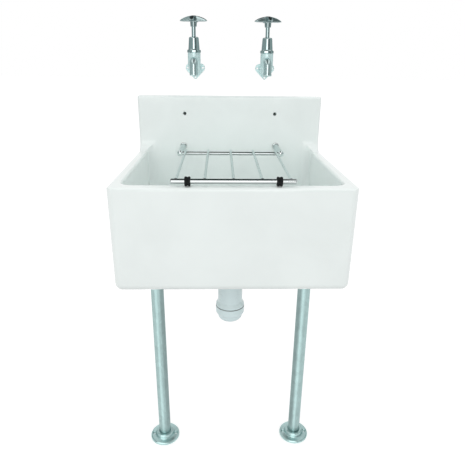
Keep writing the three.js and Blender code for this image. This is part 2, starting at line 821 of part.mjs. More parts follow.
// Wall plate: a rounded triangle and the supply socket, drawn face up and then stood on the wall.
function wallPlate() {
  const shoulderX = plateHalfWidth - plateShoulder;
  const shoulder = bar(plateShoulder, 0, plateThickness);
  const tip = bar(plateTipRadius, 0, plateThickness);
  let flange = wasm.Manifold.hull([
    shoulder.translate(-shoulderX, plateTop - plateShoulder, 0),
    shoulder.translate(shoulderX, plateTop - plateShoulder, 0),
    tip.translate(0, plateTipRadius - plateTip, 0),
  ]);
  for (const [x, y] of plateHoles) {
    flange = flange.subtract(bar(plateHoleRadius, -1, plateThickness + 1).translate(x, y, 0));
  }
  const socket = turned([
    [0, 0], [socketRadius, 0], [socketRadius, socketLength, 1.5], [0, socketLength],
  ]);
  const bored = flange.add(socket)
    .subtract(bar(tailRadius + seat, plateThickness, socketLength + 1))
    .subtract(bar(supplyOpening, -1, plateThickness + 1));
  return bored.rotate([90, 0, 0]);
}

// The path of the spout: forward out of the barrel, round the bend and down to the mouth.
function spoutPath(fromY, toZ) {
  const path = new THREE.CurvePath();
  const bendStart = new THREE.Vector3(0, -tapReach - spoutReach + spoutBend, spoutAxis);
  const corner = new THREE.Vector3(0, -tapReach - spoutReach, spoutAxis);
  const bendEnd = new THREE.Vector3(0, -tapReach - spoutReach, spoutAxis - spoutBend);
  path.add(new THREE.LineCurve3(new THREE.Vector3(0, fromY, spoutAxis), bendStart));
  path.add(new THREE.QuadraticBezierCurve3(bendStart, corner, bendEnd));
  path.add(new THREE.LineCurve3(bendEnd, new THREE.Vector3(0, -tapReach - spoutReach, toZ)));
  return path;
}

// A round bar bent along a path.
function barAlong(path, radius) {
  const sides = facets(radius);
  const section = Array.from({ length: sides }, (_, i) => {
    const angle = (i / sides) * 2 * Math.PI;
    return new THREE.Vector2(radius * Math.cos(angle), radius * Math.sin(angle));
  });
  const options = { extrudePath: path, steps: 7 };
  return solid(new THREE.ExtrudeGeometry(new THREE.Shape(section), options));
}

function tapBody() {
  const barrel = turned([
    [0, barrelBottom], [barrelFoot, barrelBottom, 3], [barrelRadius, barrelTaper, 8],
    [barrelRadius, barrelTop], [0, barrelTop],
  ]).translate(0, -tapReach, 0);
  const inletEnd = -socketLength + tailLength;
  const shoulder = bar(shoulderRadius, -tapReach, -socketLength - seat);
  const tail = bar(tailRadius, -tapReach, inletEnd);
  const inlet = shoulder.add(tail).rotate(alongY);
  const spout = barAlong(spoutPath(-tapReach - 2, spoutMouth), spoutRadius);
  const outside = barrel.add(inlet).add(spout);
  const chamber = bar(chamberRadius, seatTop, barrelTop + 1);
  const seatHole = bar(seatBore, 0, seatTop + 1);
  const riser = chamber.add(seatHole).translate(0, -tapReach, 0);
  const supply = bar(supplyBore, -tapReach, inletEnd + 1).rotate(alongY);
  const waterway = barAlong(spoutPath(-tapReach - 6, spoutMouth - 1), spoutBore);
  return outside.subtract(riser).subtract(supply).subtract(waterway);
}

function headgear() {
  const spigotBore = spindleThreadRadius + seat;
  const spigotLow = barrelTop - headgearSpigot;
  const blank = prism(6, hexRadius, hexLow, hexLow + hexHeight).rotate([0, 0, 30]);
  const eased = turned([
    [0, hexLow], [hexRadius, hexLow, 1.2], [hexRadius, hexLow + hexHeight, 1.8],
    [0, hexLow + hexHeight],
  ], 1);
  const stem = turned([
    [0, spigotLow], [chamberRadius - seat, spigotLow], [chamberRadius - seat, hexLow + 1],
    [headgearNeckRadius, hexLow + 1], [headgearNeckRadius, headgearNeckTop], [0, headgearNeckTop],
  ]);
  const threadTop = spindleLow + spindleThreadLength + spindleLift + 2;
  const bore = bar(spigotBore, spigotLow - 1, threadTop);
  const through = bar(spindleRadius + seat, threadTop - 1, headgearNeckTop + 1);
  return blank.intersect(eased).add(stem).subtract(bore.add(through));
}

function bonnetCover() {
  const hole = spindleRadius + 2 * seat;
  const inside = coverTop - coverWall;
  return turned([
    [hole, inside], [coverTopRadius - coverWall, inside, 2],
    [coverBottomRadius - coverWall, coverLow], [coverBottomRadius, coverLow, 0.8],
    [coverTopRadius, coverTop, 3], [hole, coverTop],
  ]);
}

function spindle() {
  const shape = turned([
    [0, spindleLow], [spindleThreadRadius, spindleLow, 0.8],
    [spindleThreadRadius, spindleLow + spindleThreadLength, 0.8],
    [spindleRadius, spindleLow + spindleThreadLength], [spindleRadius, spindleTop],
    [0, spindleTop],
  ], 1);
  const jumperBore = bar(jumperStemRadius + seat, spindleLow - 1,
    spindleLow + jumperStemLength + 1);
  const capBore = bar(capStemRadius + seat, spindleTop - capStemLength, spindleTop + 1);
  return shape.subtract(jumperBore).subtract(capBore);
}

// The cross handle: a four-armed plate cut to a low dome, on a tapered hub.
function crossHandle() {
  const corners = [];
  for (let i = 0; i < 4; i++) {
    const along = new THREE.Vector2(1, 0).rotateAround(new THREE.Vector2(), (i * Math.PI) / 2);
    const across = new THREE.Vector2(-along.y, along.x);
    for (const edge of [-1, 1]) {
      const tip = along.clone().multiplyScalar(handleArm);
      tip.addScaledVector(across, edge * handleArmHalfWidth);
      corners.push([tip.x, tip.y, handleArmHalfWidth - 0.3]);
    }
    const inner = along.clone().add(across).multiplyScalar(handleRoot);
    corners.push([inner.x, inner.y, 3]);
  }
  const cross = plate(roundedOutline(corners, 4), 0, handleCrown + 1);
  const dome = turned([
    [0, 0], [handleArm + 1, 0, 0], [handleArm + 1, handleTip, 0],
    [handleShoulder * handleArm, handleShoulderHeight * handleCrown, 12], [0, handleCrown],
  ]);
  const hub = turned([
    [0, -hubHeight], [hubBottomRadius, -hubHeight, 1], [hubTopRadius, 0], [hubTopRadius, 2], [0, 2],
  ]);
  const socket = bar(spindleRadius + seat, -hubHeight - 1, spindleTop - handleUnderside + seat);
  const capSeat = bar(capRadius + seat, handleCrown - capDome - seat, handleCrown + 2);
  const stemHole = bar(capStemRadius + seat, 0, handleCrown);
  return cross.intersect(dome).add(hub).subtract(socket).subtract(capSeat).subtract(stemHole);
}

function handleCap() {
  const low = handleCrown - capDome;
  return turned([
    [0, low - capStemLength], [capStemRadius, low - capStemLength], [capStemRadius, low],
    [capRadius, low], [capRadius, low + 0.5], [0.5 * capRadius, low + capDome, 3], [0, low + capDome],
  ], 1);
}

function jumper() {
  const top = jumperLow + jumperThickness;
  return turned([
    [0, jumperLow], [jumperRadius, jumperLow, 0.5], [jumperRadius, top, 0.5],
    [jumperStemRadius, top], [jumperStemRadius, top + jumperStemLength],
    [0, top + jumperStemLength],
  ]);
}

for (const [side, word] of [[-1, 'left'], [1, 'right']]) {
  const tap = placed(sink, (side * tapSpacing) / 2, 0, rimZ + tapHeight);
  piece(tap, `${word}_wall_plate`, wallPlate(), chrome);
  piece(tap, `${word}_tap_body`, tapBody(), chrome);
  const axis = placed(tap, 0, -tapReach, 0);
  piece(axis, `${word}_headgear`, headgear(), chrome);
  const gland = prism(6, glandNutRadius, glandLow, glandLow + glandNutHeight);
  const glandBore = bar(spindleRadius + seat, glandLow - 1, glandLow + glandNutHeight + 1);
  piece(axis, `${word}_gland_nut`, gland.subtract(glandBore), brass);
  piece(axis, `${word}_bonnet_cover`, bonnetCover(), chrome);
  piece(axis, `${word}_spindle`, spindle(), chrome);
  piece(axis, `${word}_jumper`, jumper(), brass);
  piece(axis, `${word}_tap_washer`,
    bar(jumperRadius, washerLow, washerLow + washerThickness), rubber);
  const handle = placed(axis, 0, 0, handleUnderside);
  handle.rotation.z = side * handleTurn;
  piece(handle, `${word}_handle`, crossHandle(), chrome);
  piece(handle, `${word}_handle_cap`, handleCap(), chrome);
}

export default sink;
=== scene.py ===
"""Utility sink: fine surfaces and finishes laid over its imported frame.

Shapes are worked out in millimetres, in the frame's own axes, and go into meshes in metres.
"""

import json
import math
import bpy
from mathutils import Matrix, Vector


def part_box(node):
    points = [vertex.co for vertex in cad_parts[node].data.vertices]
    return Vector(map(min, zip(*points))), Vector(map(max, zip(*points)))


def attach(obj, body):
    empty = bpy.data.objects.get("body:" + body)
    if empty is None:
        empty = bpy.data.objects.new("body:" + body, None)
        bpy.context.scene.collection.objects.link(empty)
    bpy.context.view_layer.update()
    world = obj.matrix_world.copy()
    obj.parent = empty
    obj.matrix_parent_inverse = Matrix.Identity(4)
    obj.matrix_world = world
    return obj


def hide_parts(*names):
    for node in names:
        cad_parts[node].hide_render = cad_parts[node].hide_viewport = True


bl_info = {
    "name": "Utility Sink",
    "version": (1, 0, 0),
    "blender": (4, 5, 0),
    "location": "3D View > Sidebar > Utility Sink",
    "description": "Builds a wall-hung utility sink with its grating, trap, legs and taps",
    "category": "Object",
}

from types import SimpleNamespace

import bmesh
import bpy
import numpy as np
from mathutils import Matrix, Vector

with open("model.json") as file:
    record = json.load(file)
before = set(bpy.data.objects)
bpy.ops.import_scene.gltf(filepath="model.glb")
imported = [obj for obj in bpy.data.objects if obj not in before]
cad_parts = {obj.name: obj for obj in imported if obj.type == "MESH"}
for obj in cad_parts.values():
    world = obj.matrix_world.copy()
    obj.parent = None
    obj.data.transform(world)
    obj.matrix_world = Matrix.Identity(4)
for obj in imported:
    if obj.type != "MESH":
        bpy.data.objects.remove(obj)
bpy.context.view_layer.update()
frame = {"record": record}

MM = 0.001
SIDES = 96  # points round a turned piece

# Places shared by the pieces, in millimetres
RIM_Z = -90.0
TOP_Z = 42.5
UNDER_Z = -296.0
FLOOR_Z = -782.0
WASTE_Y = -205.0
CUP_Z = -435.0  # top of the trap's cup
HINGE_Y, HINGE_Z = -125.0, -79.5
RAIL_Y, RAIL_Z = -383.0, -81.1
EYE_X = 117.5
LEG_X, LEG_Y = 166.0, -270.0
TAP_X, TAP_Z, TAP_REACH = 85.0, 104.0, 45.0
WALL_HOLE_X = 112.5

# The photograph's view: millimetres, then degrees down, to the right and clockwise
CAMERA = np.array([-24.57, -1154.44, 114.59])
PITCH, YAW, ROLL = 20.8518, 1.7313, 0.6132

SIDES_OF = ((-1, "left"), (1, "right"))
BODY_OF = {node: body for body, nodes in frame["record"]["behaviour"]["bodies"].items()
           for node in nodes}


# ------------------------------------------------------------------ sizes and colours


def length(name, description, millimetres):
    """A length that a user may change."""
    return bpy.props.FloatProperty(name=name, description=description, unit="LENGTH",
                                   default=millimetres * MM, min=0.0, precision=4)


def colour(name, description, red, green, blue):
    """A colour that a user may change, in linear light."""
    return bpy.props.FloatVectorProperty(name=name, description=description, subtype="COLOR",
                                         size=3, default=(red, green, blue), min=0.0, max=1.0)


def box_size(node, axis):
    """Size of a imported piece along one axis, in millimetres."""
    low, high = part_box(node)
    return (high[axis] - low[axis]) / MM


class SinkSizes(bpy.types.PropertyGroup):
    """Sizes of the sink's pieces."""

    width: length("Width", "Width of the basin", box_size("basin", 0))
    depth: length("Depth", "Wall to the front of the basin", box_size("basin", 1))
    upstand_thickness: length("Upstand thickness", "Thickness of the raised back", 22)
    edge: length("Edge rounding", "Radius of the rim's and the upstand's edges", 6)
    bowl_corner: length("Bowl corners", "Radius of the upright corners in the bowl", 24)
    bowl_depth: length("Bowl depth", "Rim to the edge of the bowl's floor", 182)
    front_rail: length("Front rail radius", "Radius of the grating's front rail", 4.7)
    back_rail: length("Back rail radius", "Radius of the grating's back rail", 4.1)
    wire: length("Wire radius", "Radius of the grating's wires", 2.4)
    eye: length("Eye radius", "Radius of the balls that hold the back rail", 7.4)
    trap: length("Trap radius", "Radius of the bottle trap's body", 29.5)
    leg: length("Leg radius", "Radius of the leg tubes", 14.3)
    foot: length("Foot radius", "Radius of the floor feet", 35.8)
    barrel: length("Tap barrel radius", "Radius of the tap bodies", 14.8)
    spout: length("Spout radius", "Radius of the spouts", 9.6)
    handle: length("Handle reach", "Spindle axis to the end of a handle's arm", 31.5)
    arm: length("Arm width", "Half the width of a handle's arm", 5.6)


class SinkColours(bpy.types.PropertyGroup):
    """Colours of the sink's finishes and strength of its light."""

    glaze: colour("Glaze", "Glazed fireclay", 0.918, 0.978, 0.962)
    biscuit: colour("Bare fireclay", "Unglazed back and underside", 0.640, 0.610, 0.540)
    steel: colour("Polished steel", "Grating, its brackets and the waste", 0.880, 0.930, 0.925)
    chrome: colour("Chrome", "Polished parts of the taps", 0.560, 0.680, 0.680)
    cast: colour("Satin chrome", "Cast tap bodies and wall plates", 0.740, 0.930, 0.930)
    zinc: colour("Galvanised steel", "Legs, feet and fixings", 0.350, 0.480, 0.475)
    brass: colour("Brass", "Gland nuts and jumpers", 0.560, 0.400, 0.160)
    rubber: colour("Rubber", "Buffers, pads and seals", 0.006, 0.008, 0.008)
    fibre: colour("Fibre", "Washers on the glaze", 0.720, 0.740, 0.720)
    plastic: colour("Trap plastic", "Bottle trap and its nuts", 0.780, 0.925, 0.945)
    floor: colour("Floor", "Studio floor", 0.600, 0.600, 0.600)
    daylight: bpy.props.FloatProperty(name="Daylight", min=0.0, default=0.85,
                                      description="Strength of the light from all round")
    softbox: bpy.props.FloatProperty(name="Softbox", min=0.0, default=13.0, unit="POWER",
                                     description="Power of the light above the camera")


def sizes():
    """The scene's sizes in millimetres, by name."""
    group = bpy.context.scene.sink_sizes
    return SimpleNamespace(**{name: getattr(group, name) / MM
                              for name in SinkSizes.__annotations__})


# ------------------------------------------------------------------ surfaces


def rounded(corners, steps=8):
    """Outline through (a, b, radius) corners, as rows (a, b).

    A corner with a radius gives way to the arc that touches both of its sides: its centre
    lies on the bisector at radius / sin(half the corner's angle).
    """
    spots = np.array([corner[:2] for corner in corners], float)
    rows = []
    for i, corner in enumerate(corners):
        radius = corner[2] if len(corner) > 2 else 0
        if radius <= 0:
            rows.append(spots[i][None])
            continue
        back = spots[i - 1] - spots[i]
        ahead = spots[(i + 1) % len(spots)] - spots[i]
        back, ahead = back / np.hypot(*back), ahead / np.hypot(*ahead)
        half = math.acos(np.clip(back @ ahead, -1, 1)) / 2
        bisector = back + ahead
        centre = spots[i] + bisector / np.hypot(*bisector) * radius / math.sin(half)
        start = spots[i] + back * radius / math.tan(half) - centre
        end = spots[i] + ahead * radius / math.tan(half) - centre
        sweep = math.atan2(start[0] * end[1] - start[1] * end[0], start @ end)
        turn = math.atan2(start[1], start[0]) + sweep * np.linspace(0, 1, steps + 1)
        rows.append(centre + radius * np.column_stack([np.cos(turn), np.sin(turn)]))
    return np.vstack(rows)


def straight(inner, outer, low, high, ease=0.0):
    """Corners of a plain ring's outline, or of a rod's where inner is 0."""
    return [(inner, low), (outer, low, ease), (outer, high, ease), (inner, high)]


def chamfered(inner, outer, low, high, cut, ease=0.0):
    """The same with its two outer edges cut off at 45 degrees."""
    return [(inner, low), (outer - cut, low, ease), (outer, low + cut), (outer, high - cut),
            (outer - cut, high, ease), (inner, high)]


def turned(corners, steps=6, sides=SIDES, radius_at=None):
    """Surface of revolution about Z: outline point (r, z) goes round to (r cos t, r sin t, z).

    radius_at(r, z, t) may change the radius from place to place.
    """
    outline = rounded(corners, steps)
    t = np.linspace(0, 2 * np.pi, sides, endpoint=False)[None]
    r, z = outline[:, :1], outline[:, 1:]
    if radius_at:
        r = radius_at(r, z, t)
    return np.stack(np.broadcast_arrays(r * np.cos(t), r * np.sin(t), z), axis=-1)


def along_x(points):
    """Turns +Z to +X: (x, y, z) becomes (z, y, -x)."""
    return points[..., [2, 1, 0]] * (1, 1, -1)


def along_y(points):
    """Turns +Z to +Y: (x, y, z) becomes (x, z, -y)."""
    return points[..., [0, 2, 1]] * (1, 1, -1)


def about_z(points, degrees):
    """Turns points about Z by an angle."""
    c, s = math.cos(math.radians(degrees)), math.sin(math.radians(degrees))
    return points @ np.array([[c, s, 0], [-s, c, 0], [0, 0, 1]])


def swept(path, radii, sides=48):
    """Round bar along a path in the plane X = constant.

    Each path point carries a circle of its radius in the plane of X and the path's normal,
    which is the tangent turned by a quarter.
    """
    t = np.linspace(0, 2 * np.pi, sides, endpoint=False)[None, :, None]
    tangent = np.gradient(path, axis=0)
    tangent /= np.linalg.norm(tangent, axis=1, keepdims=True)
    across = np.array([1.0, 0, 0])
    normal = np.cross(across, tangent)[:, None]
    radii = np.broadcast_to(radii, len(path))[:, None, None]
    return path[:, None] + radii * (np.cos(t) * across + np.sin(t) * normal)


def plan_ring(half_width, front, back, radius, z, steps=12):
    """Rounded rectangle at height z: four quarter circles joined by straight sides."""
    quarter = np.repeat(np.arange(4), steps + 1)
    turn = (quarter + np.tile(np.linspace(0, 1, steps + 1), 4)) * np.pi / 2
    x = np.where((quarter == 0) | (quarter == 3), 1, -1) * (half_width - radius)
    y = np.where(quarter < 2, back - radius, front + radius)
    x, y = x + radius * np.cos(turn), y + radius * np.sin(turn)
    return np.column_stack([x, y, np.full_like(x, z)])


def prism_radius(count, corner, first=-90):
    """Radius of a regular prism in direction t: apothem / cos(angle from the nearest face).

    The apothem is corner * cos(half of a face's angle), and no radius of the outline grows.
    """
    part = 2 * np.pi / count

    def radius(r, z, t):
        side = (t - math.radians(first)) % part - part / 2
        flat = corner * math.cos(part / 2) / np.cos(side)
        return np.minimum(r, flat)
    return radius


def gripped(count, depth, rim, span):
    """Radius of a nut with finger grooves: the outside dips by depth at count places."""
    def radius(r, z, t):
        dip = np.clip((np.cos(count * t) - 1 + span) / span, 0, 1) ** 0.7
        return np.where(r > rim, r - depth * dip, r + 0 * t)
    return radius


def make(name, grid, at=(0, 0, 0), ring=False):
    """Object over a grid of points whose columns close round.

    Rows close too if ring is true; otherwise each end is a pole or gets a flat cap.
    """
    points = (grid + np.array(at, float)) * MM
    rows, columns = points.shape[:2]
    index = np.arange(rows * columns).reshape(rows, columns)
    low, high = (index, np.roll(index, -1, axis=0)) if ring else (index[:-1], index[1:])
    quads = np.stack([low, np.roll(low, -1, 1), np.roll(high, -1, 1), high], axis=-1)
    faces = quads.reshape(-1, 4).tolist()
    if not ring:
        faces += [index[end].tolist() for end in (0, -1)
                  if np.ptp(points[end], axis=0).max() > 1e-6]
    mesh = bpy.data.meshes.new(name)
    mesh.from_pydata(points.reshape(-1, 3), [], faces)
    whole = bmesh.new()
    whole.from_mesh(mesh)
    bmesh.ops.remove_doubles(whole, verts=whole.verts, dist=2e-7)
    bmesh.ops.dissolve_degenerate(whole, edges=whole.edges, dist=1e-8)
    bmesh.ops.recalc_face_normals(whole, faces=whole.faces)
    whole.to_mesh(mesh)
    whole.free()
    piece = bpy.data.objects.new(name, mesh)
    bpy.context.scene.collection.objects.link(piece)
    return piece


def applied(piece):
    """Puts a piece's modifiers into its mesh."""
    depsgraph = bpy.context.evaluated_depsgraph_get()
    depsgraph.update()
    mesh = bpy.data.meshes.new_from_object(piece.evaluated_get(depsgraph))
    if not mesh.polygons:
        raise RuntimeError(f"{piece.name} came out empty")
    old, piece.data = piece.data, mesh
    piece.modifiers.clear()
    bpy.data.meshes.remove(old)
    return piece


def carve(piece, *tools, way="DIFFERENCE"):
    """The piece with the tools taken away, joined to it or kept in common with it."""
    for tool in tools:
        step = piece.modifiers.new("carve", "BOOLEAN")
        step.operation, step.solver, step.object = way, "MANIFOLD", tool
    applied(piece)
    for tool in tools:
        bpy.data.meshes.remove(tool.data)
    return piece


def dress(piece, node, finish, sharp=32, bevel=0.0):
    """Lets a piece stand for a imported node: its body, finish, shading and eased edges."""
    piece.data.materials.clear()
    piece.data.materials.append(bpy.data.materials[finish])
    piece.data.polygons.foreach_set("material_index", np.zeros(len(piece.data.polygons), np.int32))
    piece.data.polygons.foreach_set("use_smooth", np.ones(len(piece.data.polygons), bool))
    if bevel:
        ease = piece.modifiers.new("eased edges", "BEVEL")
        ease.width, ease.segments = bevel * MM, 2
        ease.limit_method, ease.angle_limit = "ANGLE", math.radians(50)
        applied(piece)
    piece.data.set_sharp_from_angle(angle=math.radians(sharp))
    piece.modifiers.new("weighted normals", "WEIGHTED_NORMAL").keep_sharp = True
    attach(piece, BODY_OF[node])
    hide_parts(node)
    return piece


# ------------------------------------------------------------------ finishes


class Value:
    """A shader socket in a Python expression: each operator adds its Math node."""

    def __init__(self, nodes, socket):
        self.nodes, self.socket = nodes, socket

    def math(self, operation, first, second):
        """A Math node on two numbers or values."""
        return self.nodes.node("ShaderNodeMath", {"operation": operation}, {0: first, 1: second})

    def __add__(self, other):
        return self.math("ADD", self, other)

    def __sub__(self, other):
        return self.math("SUBTRACT", self, other)

    def __rsub__(self, other):
        return self.math("SUBTRACT", other, self)

    def __mul__(self, other):
        return self.math("MULTIPLY", self, other)

    def __or__(self, other):
        return self.math("MAXIMUM", self, other)

    __radd__, __rmul__, __ror__ = __add__, __mul__, __or__  # either order gives the same


class Nodes:
    """A node tree, filled by one method."""

    def __init__(self, tree):
        self.tree = tree
        tree.nodes.clear()

    def node(self, kind, settings=None, sockets=None, out=0):
        """Adds a node: its settings come first, then the numbers or links of its sockets."""
        node = self.tree.nodes.new(kind)
        for name, value in (settings or {}).items():
            setattr(node, name, value)
        for key, value in (sockets or {}).items():
            if isinstance(value, Value):
                self.tree.links.new(value.socket, node.inputs[key])
            else:
                node.inputs[key].default_value = value
        return Value(self, node.outputs[out]) if node.outputs else None

    def place(self, stretch=(1, 1, 1)):
        """Object coordinates in metres, stretched."""
        spot = self.node("ShaderNodeTexCoord", out=3)
        return self.node("ShaderNodeMapping", sockets={"Vector": spot, "Scale": stretch})

    def axis(self, number):
        """One of the object coordinates, in metres: 0, 1 or 2 for X, Y or Z."""
        return self.node("ShaderNodeSeparateXYZ", sockets={0: self.place()}, out=number)

    def noise(self, scale, detail=3.0, stretch=(1, 1, 1), distortion=0.0):
        """Noise whose features are about 1 / scale metres."""
        return self.node("ShaderNodeTexNoise", sockets={
            "Vector": self.place(stretch), "Scale": scale, "Detail": detail,
            "Distortion": distortion})

    def ramp(self, value, low, high, start=0.0, end=1.0):
        """A value carried from low...high to start...end, smoothly and no further."""
        return self.node("ShaderNodeMapRange", {"interpolation_type": "SMOOTHSTEP"},
                         {0: value, 1: low, 2: high, 3: start, 4: end})

    def mix(self, factor, first, second):
        """Two colours mixed."""
        return self.node("ShaderNodeMix", {"data_type": "RGBA"},
                         {0: factor, 6: first, 7: second}, out=2)

    def bump(self, height, strength, distance):
        """The surface's normal, tilted by a height in millimetres."""
        return self.node("ShaderNodeBump", sockets={
            "Strength": strength, "Distance": distance * MM, "Height": height})

    def either(self, *outputs):
        """1 for the kinds of ray named, as outputs of Light Path."""
        kinds = [self.node("ShaderNodeLightPath", out=name) for name in outputs]
        total = kinds[0]
        for kind in kinds[1:]:
            total = total | kind
        return total


def tone(rgb, factor=1.0):
    """A colour with alpha, made lighter or darker."""
    return (*[min(1.0, channel * factor) for channel in rgb], 1.0)


def material(name, surface):
    """A material whose surface is the shader that surface(nodes) gives."""
    made = bpy.data.materials.new(name)
    made.use_nodes = True
    nodes = Nodes(made.node_tree)
    nodes.node("ShaderNodeOutputMaterial", sockets={"Surface": surface(nodes)})
    return made


def glazed(n, own):
    """Milky glaze with a wavy skin, and bare fireclay on the back and the underside."""
    cloud = n.noise(7.0, 4.0, distortion=0.4)
    speck = n.ramp(n.noise(620.0, 1.0), 0.74, 0.80)
    wave = n.noise(26.0, 2.0)
    peel = n.noise(300.0, 2.0)
    ragged = n.noise(60.0, 3.0) * 0.0016
    back = n.ramp(n.axis(1) + ragged, -0.8 * MM, -0.2 * MM)
    under = n.ramp(n.axis(2) - ragged, (UNDER_Z + 0.4) * MM, (UNDER_Z - 0.2) * MM)
    bare = back | under
    colour_of = n.mix(n.ramp(cloud, 0.3, 0.7), tone(own.glaze, 0.975), tone(own.glaze, 1.02))
    colour_of = n.mix(speck * 0.35, colour_of, tone(own.glaze, 0.72))
    grain = n.mix(n.noise(240.0, 5.0), tone(own.biscuit, 0.86), tone(own.biscuit, 1.1))
    return {
        "Base Color": n.mix(bare, colour_of, grain),
        "Roughness": n.ramp(cloud, 0.2, 0.8, 0.07, 0.13) * (1 - bare) + bare * 0.85,
        "Normal": n.bump(wave * 0.7 + peel * 0.05 + bare * n.noise(900.0, 3.0) * 0.25,
                         0.35, 0.8),
        "IOR": 1.5,
    }


def polished(n, own, edge=(0.62, 0.68, 0.68, 1.0), light=1.0):
    """Steel with smears and fine lines along X."""
    smear = n.noise(90.0, 4.0, (0.3, 1, 1))
    lines = n.noise(2400.0, 2.0, (0.03, 1, 1))
    return {
        "Base Color": n.mix(smear, tone(own.steel, 0.93 * light),
                            tone(own.steel, 1.05 * light)),
        "Metallic": 1.0,
        "Roughness": n.ramp(smear, 0.3, 0.7, 0.10, 0.19) + lines * 0.04,
        "Normal": n.bump(lines, 0.08, 0.05),
        "Specular Tint": edge,
    }


def rail_steel_shaded(n, own):
    """Steel two thirds as bright, with a dark edge tint, for the rails: both are painted shade for
    the dark reflections along them.
    """
    return polished(n, own, (0.22, 0.27, 0.27, 1.0), 0.66)


def plated(n, own, light=1.0, dull=0.0, edge=(0.30, 0.36, 0.37, 1.0)):
    """Chrome with smears and a little dust."""
    smear = n.noise(130.0, 4.0, distortion=0.6)
    dust = n.ramp(n.noise(1500.0, 2.0), 0.62, 0.72)
    return {
        "Base Color": n.mix(smear, tone(own.chrome, 0.93 * light), tone(own.chrome, 1.05 * light)),
        "Metallic": 1.0,
        "Roughness": n.ramp(smear, 0.3, 0.7, 0.06 + dull, 0.12 + dull) + dust * 0.05,
        "Normal": n.bump(n.noise(160.0, 2.0), 0.10, 0.25),
        "Specular Tint": edge,
    }


def handle_chrome_shaded(n, own):
    """Chrome, rougher, with its colour a quarter darker as painted shade for the handles' dark
    reflections.
    """
    return plated(n, own, 0.74, 0.12, (0.40, 0.46, 0.47, 1.0))


def satin(n, own):
    """Cast surface, brighter and smoother towards the spout's front."""
    cloud = n.noise(110.0, 4.0)
    grain = n.noise(1700.0, 3.0)
    front = n.ramp(n.axis(1), -57 * MM, -66 * MM)
    return {
        "Base Color": n.mix(front, n.mix(cloud, tone(own.cast, 0.92), tone(own.cast, 1.08)),
                            tone(own.chrome, 1.15)),
        "Metallic": 0.5 + front * 0.4,
        "Roughness": (n.ramp(cloud, 0.3, 0.7, 0.40, 0.48) + grain * 0.06) * (1 - front * 0.5),
        "Normal": n.bump(grain + n.noise(120.0, 2.0) * 2.0, 0.18, 0.08),
        "Specular Tint": (0.55, 0.62, 0.63, 1.0),
    }


def galvanised(n, own, light=1.0):
    """Zinc with crystals, bloom and the lines of drawing."""
    crystal = n.node("ShaderNodeTexVoronoi", sockets={
        "Vector": n.place((1, 1, 0.6)), "Scale": 130.0, "Randomness": 1.0}, out="Color")
    flake = n.node("ShaderNodeSeparateColor", sockets={0: crystal})
    bloom = n.noise(34.0, 5.0, distortion=0.8)
    frost = n.noise(700.0, 4.0)
    drawn = n.noise(420.0, 3.0, (1, 1, 0.008))
    shade = flake * 0.2 + bloom * 0.3 + drawn * 0.5
    return {
        "Base Color": n.mix(n.ramp(shade, 0.3, 0.7), tone(own.zinc, 0.90 * light),
                            tone(own.zinc, 1.10 * light)),
        "Metallic": 1.0,
        "Roughness": n.ramp(shade, 0.25, 0.75, 0.26, 0.33) + frost * 0.04,
        "Normal": n.bump(flake * 0.5 + frost, 0.08, 0.04),
        "Specular Tint": (0.85, 0.88, 0.88, 1.0),
    }


def bright_zinc(n, own):
    """Zinc about a third lighter than the legs' zinc."""
    return galvanised(n, own, 1.35)


def brassy(n, own):
    """Brass with tarnish."""
    tarnish = n.noise(220.0, 5.0, distortion=0.5)
    return {
        "Base Color": n.mix(tarnish, tone(own.brass, 0.7), tone(own.brass, 1.1)),
        "Metallic": 1.0,
        "Roughness": n.ramp(tarnish, 0.3, 0.7, 0.42, 0.24),
        "Normal": n.bump(n.noise(1800.0, 2.0), 0.15, 0.05),
    }


def rubbery(n, own):
    """Black rubber with a pale bloom."""
    bloom = n.noise(160.0, 4.0)
    grain = n.noise(2200.0, 2.0)
    return {
        "Base Color": n.mix(bloom, tone(own.rubber, 0.7), tone(own.rubber, 1.8)),
        "Roughness": n.ramp(bloom, 0.3, 0.7, 0.48, 0.68),
        "Normal": n.bump(grain, 0.3, 0.08),
        "Specular IOR Level": 0.18,
    }


def fibrous(n, own):
    """Pressed fibre with flecks."""
    fleck = n.noise(900.0, 5.0)
    return {
        "Base Color": n.mix(fleck, tone(own.fibre, 0.84), tone(own.fibre, 1.06)),
        "Roughness": n.ramp(fleck, 0.3, 0.7, 0.5, 0.7),
        "Normal": n.bump(fleck, 0.3, 0.08),
    }


def moulded(n, own):
    """Smooth plastic with scuffs, and a thin dark band of painted shade where the cup meets the
    body.
    """
    flow = n.noise(18.0, 4.0, (1, 1, 0.35), 0.8)
    grain = n.noise(1500.0, 2.0)
    scuff = n.ramp(n.noise(75.0, 6.0, (1, 1, 2.2), 0.6), 0.62, 0.75)
    base = n.mix(flow, tone(own.plastic, 0.95), tone(own.plastic, 1.04))
    # Painted shade: a thin dark band across the joint of cup and body.
    above = n.ramp(n.axis(2), (CUP_Z - 1.6) * MM, (CUP_Z - 0.6) * MM)
    below = n.ramp(n.axis(2), (CUP_Z + 1.4) * MM, (CUP_Z + 0.8) * MM)
    seam_shade = above * below
    base = n.mix(seam_shade * 0.75, base, tone(own.plastic, 0.12))
    return {
        "Base Color": n.mix(scuff * 0.4, base, tone(own.plastic, 0.86)),
        "Roughness": n.ramp(flow, 0.3, 0.7, 0.26, 0.36) + scuff * 0.12,
        "Normal": n.bump(grain + flow * 6.0, 0.15, 0.06),
        "IOR": 1.49,
    }


FINISHES = {
    "glazed fireclay": ("glaze", glazed),
    "polished steel": ("polished_steel", polished),
    "rail steel with painted shade": ("polished_steel", rail_steel_shaded),
    "bright chrome": ("chrome", plated),
    "handle chrome with painted shade": ("chrome", handle_chrome_shaded),
    "satin chrome": ("chrome", satin),
    "galvanised steel": ("galvanised", galvanised),
    "bright zinc": ("galvanised", bright_zinc),
    "brass": ("brass", brassy),
    "black rubber": ("black_rubber", rubbery),
    "white fibre": ("white_washer", fibrous),
    "grey plastic": ("trap_plastic", moulded),
}


